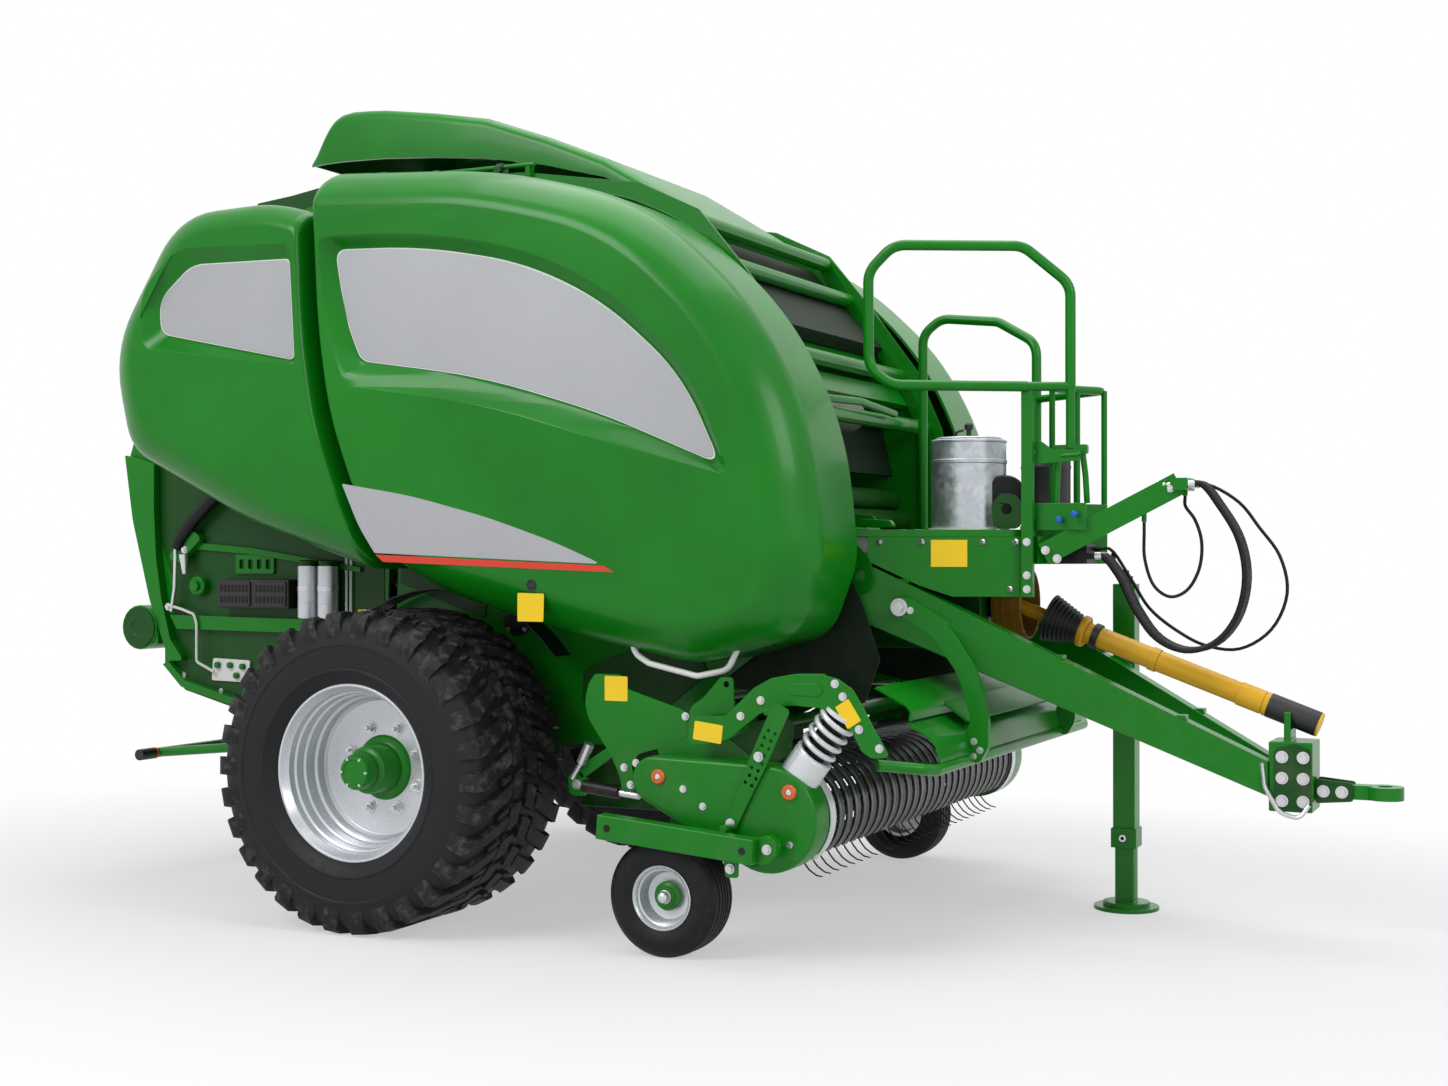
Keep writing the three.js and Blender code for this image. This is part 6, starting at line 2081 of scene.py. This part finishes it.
    def arch(self) -> None:
        """Arched plates over the covers, with their folds, inner webs and stickers."""
        body = "pickup"
        y0, y1 = self.face + 78, self.face + 86
        arch = [(1252, 726), (1257, 818), (1393, 826), (1447, 874), (1501, 925), (1566, 960), (1651, 976), (1746, 978),
                (1808, 964), (1860, 932), (1901, 866), (1937, 801), (1972, 745), (1990, 712), (1926, 706), (1891, 728),
                (1855, 797), (1808, 843), (1746, 865), (1651, 870), (1598, 866), (1523, 837), (1458, 788),
                (1415, 752), (1371, 735), (1290, 722)]
        band = filleted(arch, 30, 3)
        plate = Form().plate(band, y0, y1)
        plate.plate(filleted([(1640, 904), (1740, 904), (1760, 926), (1735, 948), (1650, 946), (1626, 926)], 22, 4),
                    y1, y1 + 4)
        plate.pair("arch_plate", GREEN, body, Slot.GREEN, 2.0)
        fold = Form().plate([(1447, 874), (1501, 925), (1566, 960), (1651, 976), (1746, 978), (1746, 972), (1651, 970),
                             (1568, 954), (1505, 920), (1452, 870)], y0 - 40, y0)
        fold.pair("arch_fold", GREEN, body, Slot.GREEN, 1.0)
        # Inner web in the darker green: painted shade behind the arch plate.
        web = [(1236, 630), (1480, 640), (1600, 690), (1612, 800), (1570, 838), (1450, 790), (1380, 742), (1236, 722)]
        inner = Form().plate(filleted(web, 14, 3), self.face - 4, self.face + 2)
        inner.pair("arch_web", SHADE, body, Slot.GREEN, 1.2)
        spots = ((1453, 828), (1528, 884), (1798, 948), (1826, 906), (1955, 740), (1884, 800))
        bolt_pair("arch_bolts_low", body, [(x, y1, z) for x, z in spots], 10)
        self.sticker("arch_label", (1330, y1, 768), (54, 32), -0.12)
        self.sticker("arch_label_front", (1845, y1, 850), (42, 28), -1.0)

    def sticker(self, name: str, spot: Sequence[float], half: Point2, lean: float) -> None:
        """Blank yellow sticker on both sides.

        Args:
            name: Its name.
            spot: Its middle, drawn on the left.
            half: Half its width and height.
            lean: Its turn in its plane.
        """
        c, s = math.cos(lean), math.sin(lean)
        corners = [(spot[0] + a * c - b * s, spot[2] + a * s + b * c)
                   for a, b in ((-half[0], -half[1]), (half[0], -half[1]), half, (-half[0], half[1]))]
        sheet = Form().plate(filleted(corners, 5, 3), spot[1] + 0.2, spot[1] + 1.6)
        sheet.pair(name, LABEL, "pickup")

    def gauge_bar(self) -> None:
        """Box tube that carries the small wheel, with its link and end caps."""
        start, end = Vector((985, 446)), Vector((1572, 396))
        along = (end - start).normalized()
        up = Vector((-along.y, along.x))
        corners = [start - up * 42.5, end - up * 42.5, end + up * 42.5, start + up * 42.5]
        bar = Form().plate([tuple(c) for c in corners], 1241, 1301)
        bar.box(1480, 1560, self.face + 118, 1246, 352, 430)
        bar.pair("gauge_bar", GREEN, "pickup", Slot.GREEN, 5.0)
        holes = Form()
        for t in (42, 552):
            p = start + along * t
            holes.lathe([(0, 0), (13, 0), (13, 1.2), (0, 1.2)], (p.x, 1301, p.y), 24)
        holes.pair("gauge_bar_holes", BLACK, "pickup")
        cap = Form().plate(filleted([(1566, 352), (1576, 440), (1612, 450), (1642, 430), (1642, 388), (1606, 356)],
                                    16, 4), 1225, 1262)
        cap.plate(filleted([(1440, 404), (1500, 398), (1500, 300), (1452, 300)], 12, 3), 1246, 1254)
        cap.pair("gauge_bar_cap", GREEN, "pickup", Slot.GREEN, 2.5)
        low, high = Vector((1438, 454)), Vector((1628, 872))
        way = (high - low).normalized()
        across = Vector((way.y, -way.x))
        link = [low - across * 20, low + across * 20, low + way * 150 + across * 26, low + way * 240 + across * 32,
                high + across * 32, high - across * 32, low + way * 240 - across * 32, low + way * 150 - across * 26]
        rows = []
        for k in range(8):
            for s in (-1, 1):
                c = low + way * (168 + k * 28) + across * (13 * s + 4 * (k % 2))
                rows.append(circle(c.x, c.y, 6.5, 12))
        plate = Form().plate(filleted([tuple(c) for c in link], 14, 4), 1180, 1188, rows)
        plate.pair("gauge_link", GREEN, "pickup", Slot.GREEN, 1.2)
        arm = Form().box(1560, 1620, 1134, 1180, 838, 858).rod((1440, 1188, 458), (1440, 1250, 458), 13, 20)
        arm.pair("gauge_link_arm", GREEN, "pickup", Slot.GREEN, 2.0)
        spots = [(1440, 1188, 470), (1544, 1188, 700), (1608, 1262, 404), (1470, 1254, 330)]
        bolt_pair("gauge_bolts", "pickup", spots, 12)

    def spring(self) -> None:
        """Coil springs with their cups, and the bands at the reel's ends."""
        w = self.spring_row
        for name, side in SIDES:
            coil(f"lift_spring_{name}", BRIGHT, "pickup", (1700, side * w, 696), (1800, side * w, 838), 60, 9.5, 4.8)
        core = Form().rod((1702, w, 699), (1799, w, 837), 40, 24)
        core.pair("spring_core", BLACK, "pickup", Slot.BLACK)
        cups = Form().rod((1650, w, 625), (1704, w, 702), 70, 40)
        cups.rod((1800, w, 838), (1808, w, 850), 60, 32)
        cups.pair("spring_cups", BRIGHT, "pickup", Slot.ZINC, 2.0)
        rx, rz = self.reel
        rings = []
        for k in range(22):
            a = math.radians(86 - k * 6.6)
            rings.append([(rx + r * math.cos(a), y, rz + r * math.sin(a))
                          for r, y in ((182, 1008), (182, 1054), (186, 1054), (186, 1008))])
        Form().loft(rings).pair("end_band", BRIGHT, "pickup", Slot.ZINC, 0.8)

    def lift_ram(self) -> None:
        """Rams that lift the pickup, with their knees."""
        y = self.ram_row
        ram = Form().rod((756, y, 538), (905, y, 522), 24, 24)
        ram.pair("lift_ram", BLACK, "pickup", Slot.BLACK, 2.0)
        rod = Form().rod((903, y, 522), (985, y, 514), 13, 18).rod((758, 980, 640), (706, 980, 562), 11, 16)
        rod.rod((778, 980, 690), (744, 980, 620), 19, 18)
        rod.pair("lift_ram_rod", STEEL, "pickup")
        knee = Form().plate(filleted([(690, 500), (760, 500), (770, 560), (720, 600), (684, 566)], 22, 4), 962, 974)
        knee.plate(filleted([(740, 560), (900, 668), (880, 700), (720, 600)], 12, 3), 962, 974)
        knee.pair("lift_knee", GREEN, "pickup", Slot.GREEN, 2.0)
        bolt_pair("lift_knee_bolts", "pickup", [(722, 974, 540), (876, 974, 676)], 13)

    def side_plate(self) -> None:
        """Upright side plate behind the guard, with its bracket and sticker."""
        w = self.face
        big = [(844, 950), (948, 950), (967, 902), (1197, 833), (1212, 800), (1216, 742), (1117, 701), (1014, 671),
               (991, 634), (1008, 545), (956, 530), (944, 591), (909, 661), (816, 791), (802, 853), (818, 916)]
        bends = (14, 14, 30, 24, 20, 30, 60, 50, 40, 20, 20, 60, 90, 120, 90, 60)
        plate = Form().plate(filleted(big, bends, 4), w + 2, w + 9)
        tall = filleted([(1210, 760), (1222, 846), (1276, 880), (1340, 952), (1388, 952), (1396, 760)],
                        (14, 60, 160, 22, 14, 14), 6)
        plate.plate(tall, w + 2, w + 9, [circle(1362, 928, 11)])
        plate.box(966, 1200, w - 60, w + 2, 800, 806)
        plate.pair("pickup_side", GREEN, "pickup", Slot.GREEN, 2.0)
        bar = Form().box(1100, 1260, w - 200, w - 6, 742, 800)
        bar.pair("pickup_corner", SHADE, "pickup", Slot.GREEN, 3.0)
        spots = ((1205, 812), (1010, 640), (988, 562), (962, 622))
        bolt_pair("pickup_bolts", "pickup", [(x, w + 9, z) for x, z in spots], 10)
        self.sticker("side_sticker", (930, w + 9, 900), (46, 44), 0.0)


@dataclass
class CropGuard(Assembly):
    """Swinging guard over the pickup."""

    arm: float = 556

    def build(self) -> None:
        """Makes the arms, the bar and the plate."""
        arms = Form()
        outline = [(1785, 1160), (1790, 1215), (1850, 1222), (1990, 1140), (2110, 960), (2150, 800), (2150, 700),
                   (2120, 648), (2070, 640), (2060, 700), (2085, 800), (2040, 950), (1950, 1080), (1840, 1150)]
        bends = (22, 22, 60, 120, 200, 120, 60, 22, 22, 120, 60, 200, 120, 60)
        for side in (-1, 1):
            y = sorted((side * self.arm, side * (self.arm + 28)))
            arms.plate(filleted(outline, bends, 5), *y, [circle(1820, 1187, 13, 16)])
        arms.piece("crop_guard_arms", GREEN, "guard", Slot.GREEN, 2.0, ["crop_guard"])
        bar = Form().tube([(1934, -1100, 682), (2060, -1010, 665), (2082, -940, 655), (2082, 940, 655),
                           (2060, 1010, 665), (1934, 1100, 682)], 20, 20, 70)
        bar.piece("crop_guard_bar", GREEN, "guard", Slot.GREEN)
        plate = Form()
        for shape in (((1846, 918), (1856, 926), (1968, 868), (1984, 846), (1978, 812), (1970, 812), (1974, 842),
                       (1960, 860)),
                      ((1966, 800), (1974, 806), (2050, 760), (2072, 736), (2086, 676), (2078, 674), (2064, 730),
                       (2044, 752))):
            plate.plate(shape, -900, 900)
        plate.plate([(1903, 899), (1909, 904), (2070, 790), (2062, 783)], -556, 556)
        plate.piece("crop_guard_plate", GREEN, "guard", Slot.GREEN, 1.5)

    def dress(self) -> None:
        """Adds bolts, the caps of the bar and the skids."""
        spots = [((1820, side * 584, 1187), (0, side, 0)) for side in (-1, 1)]
        bolts("guard_pivot_bolts", "guard", spots, 22)
        small = [((x, side * 584, z), (0, side, 0)) for side in (-1, 1) for x, z in ((1862, 1176), (2096, 668),
                                                                                  (2120, 690), (2098, 720))]
        bolts("guard_bolts", "guard", small, 9)
        ends = Form()
        for side in (-1, 1):
            ends.lathe([(0, 0), (23, 0), (23, 6), (0, 6)], (1936, side * 1098, 682), 24, (-0.8, side * 0.6, 0))
        ends.piece("guard_bar_ends", SHADE, "guard", Slot.GREEN, 1.0)
        rod = Form()
        for side in (-1, 1):
            rod.tube([(2070, side * 600, 690), (1990, side * 640, 640), (1900, side * 660, 640)], 7, 10, 40)
        rod.piece("guard_skids", SHADE, "guard", Slot.GREEN)


@dataclass
class Kicker(Assembly):
    """Bale kicker behind the wheels."""

    end: float = -1600
    height: float = 512

    def build(self) -> None:
        """Makes the frame."""
        form = Form()
        for side in (-1, 1):
            y = side * 572.7
            form.tube([(-330.3, y, 690), (-390, y, 690), (-1100, y, 560), (self.end, y, self.height)], 20, 18, 80)
        form.rod((-700, -572, 628), (-700, 572, 628), 26, 24)
        form.piece("kicker_frame", GREEN, "chassis", Slot.GREEN, stands_for=["bale_kicker"])

    def dress(self) -> None:
        """Adds the bar with its grips and rings."""
        x, z = self.end, self.height
        bar = Form().rod((x, -690, z), (x, 690, z), 21, 24)
        bar.piece("kicker_bar", GREEN, "chassis", Slot.GREEN)
        grips, rings = Form(), Form()
        for side in (-1, 1):
            grips.rod((x, side * 610, z), (x, side * 700, z), 24, 28)
            rings.rod((x, side * 598, z), (x, side * 610, z), 24, 28)
        grips.piece("kicker_grips", BLACK_PLASTIC, "chassis", Slot.BLACK, 2.0)
        rings.piece("kicker_rings", ORANGE, "chassis", bevel=1.0)


def main() -> None:
    """Builds the scene in order."""
    logging.basicConfig(level=logging.INFO, format="%(name)s: %(message)s")
    assemblies: list[Assembly] = [Stage(), Cords()]
    for name, side in SIDES:
        assemblies += [MainWheel(name, side), GaugeWheel(name, side), SideDoor(name, side)]
    assemblies += [Tailgate(), Hood(), Chassis(), Platform(), Jack(), DriveShaft(), Pickup(), CropGuard(), Kicker()]
    for assembly in assemblies:
        assembly.make()


if __name__ == "__main__":
    main()
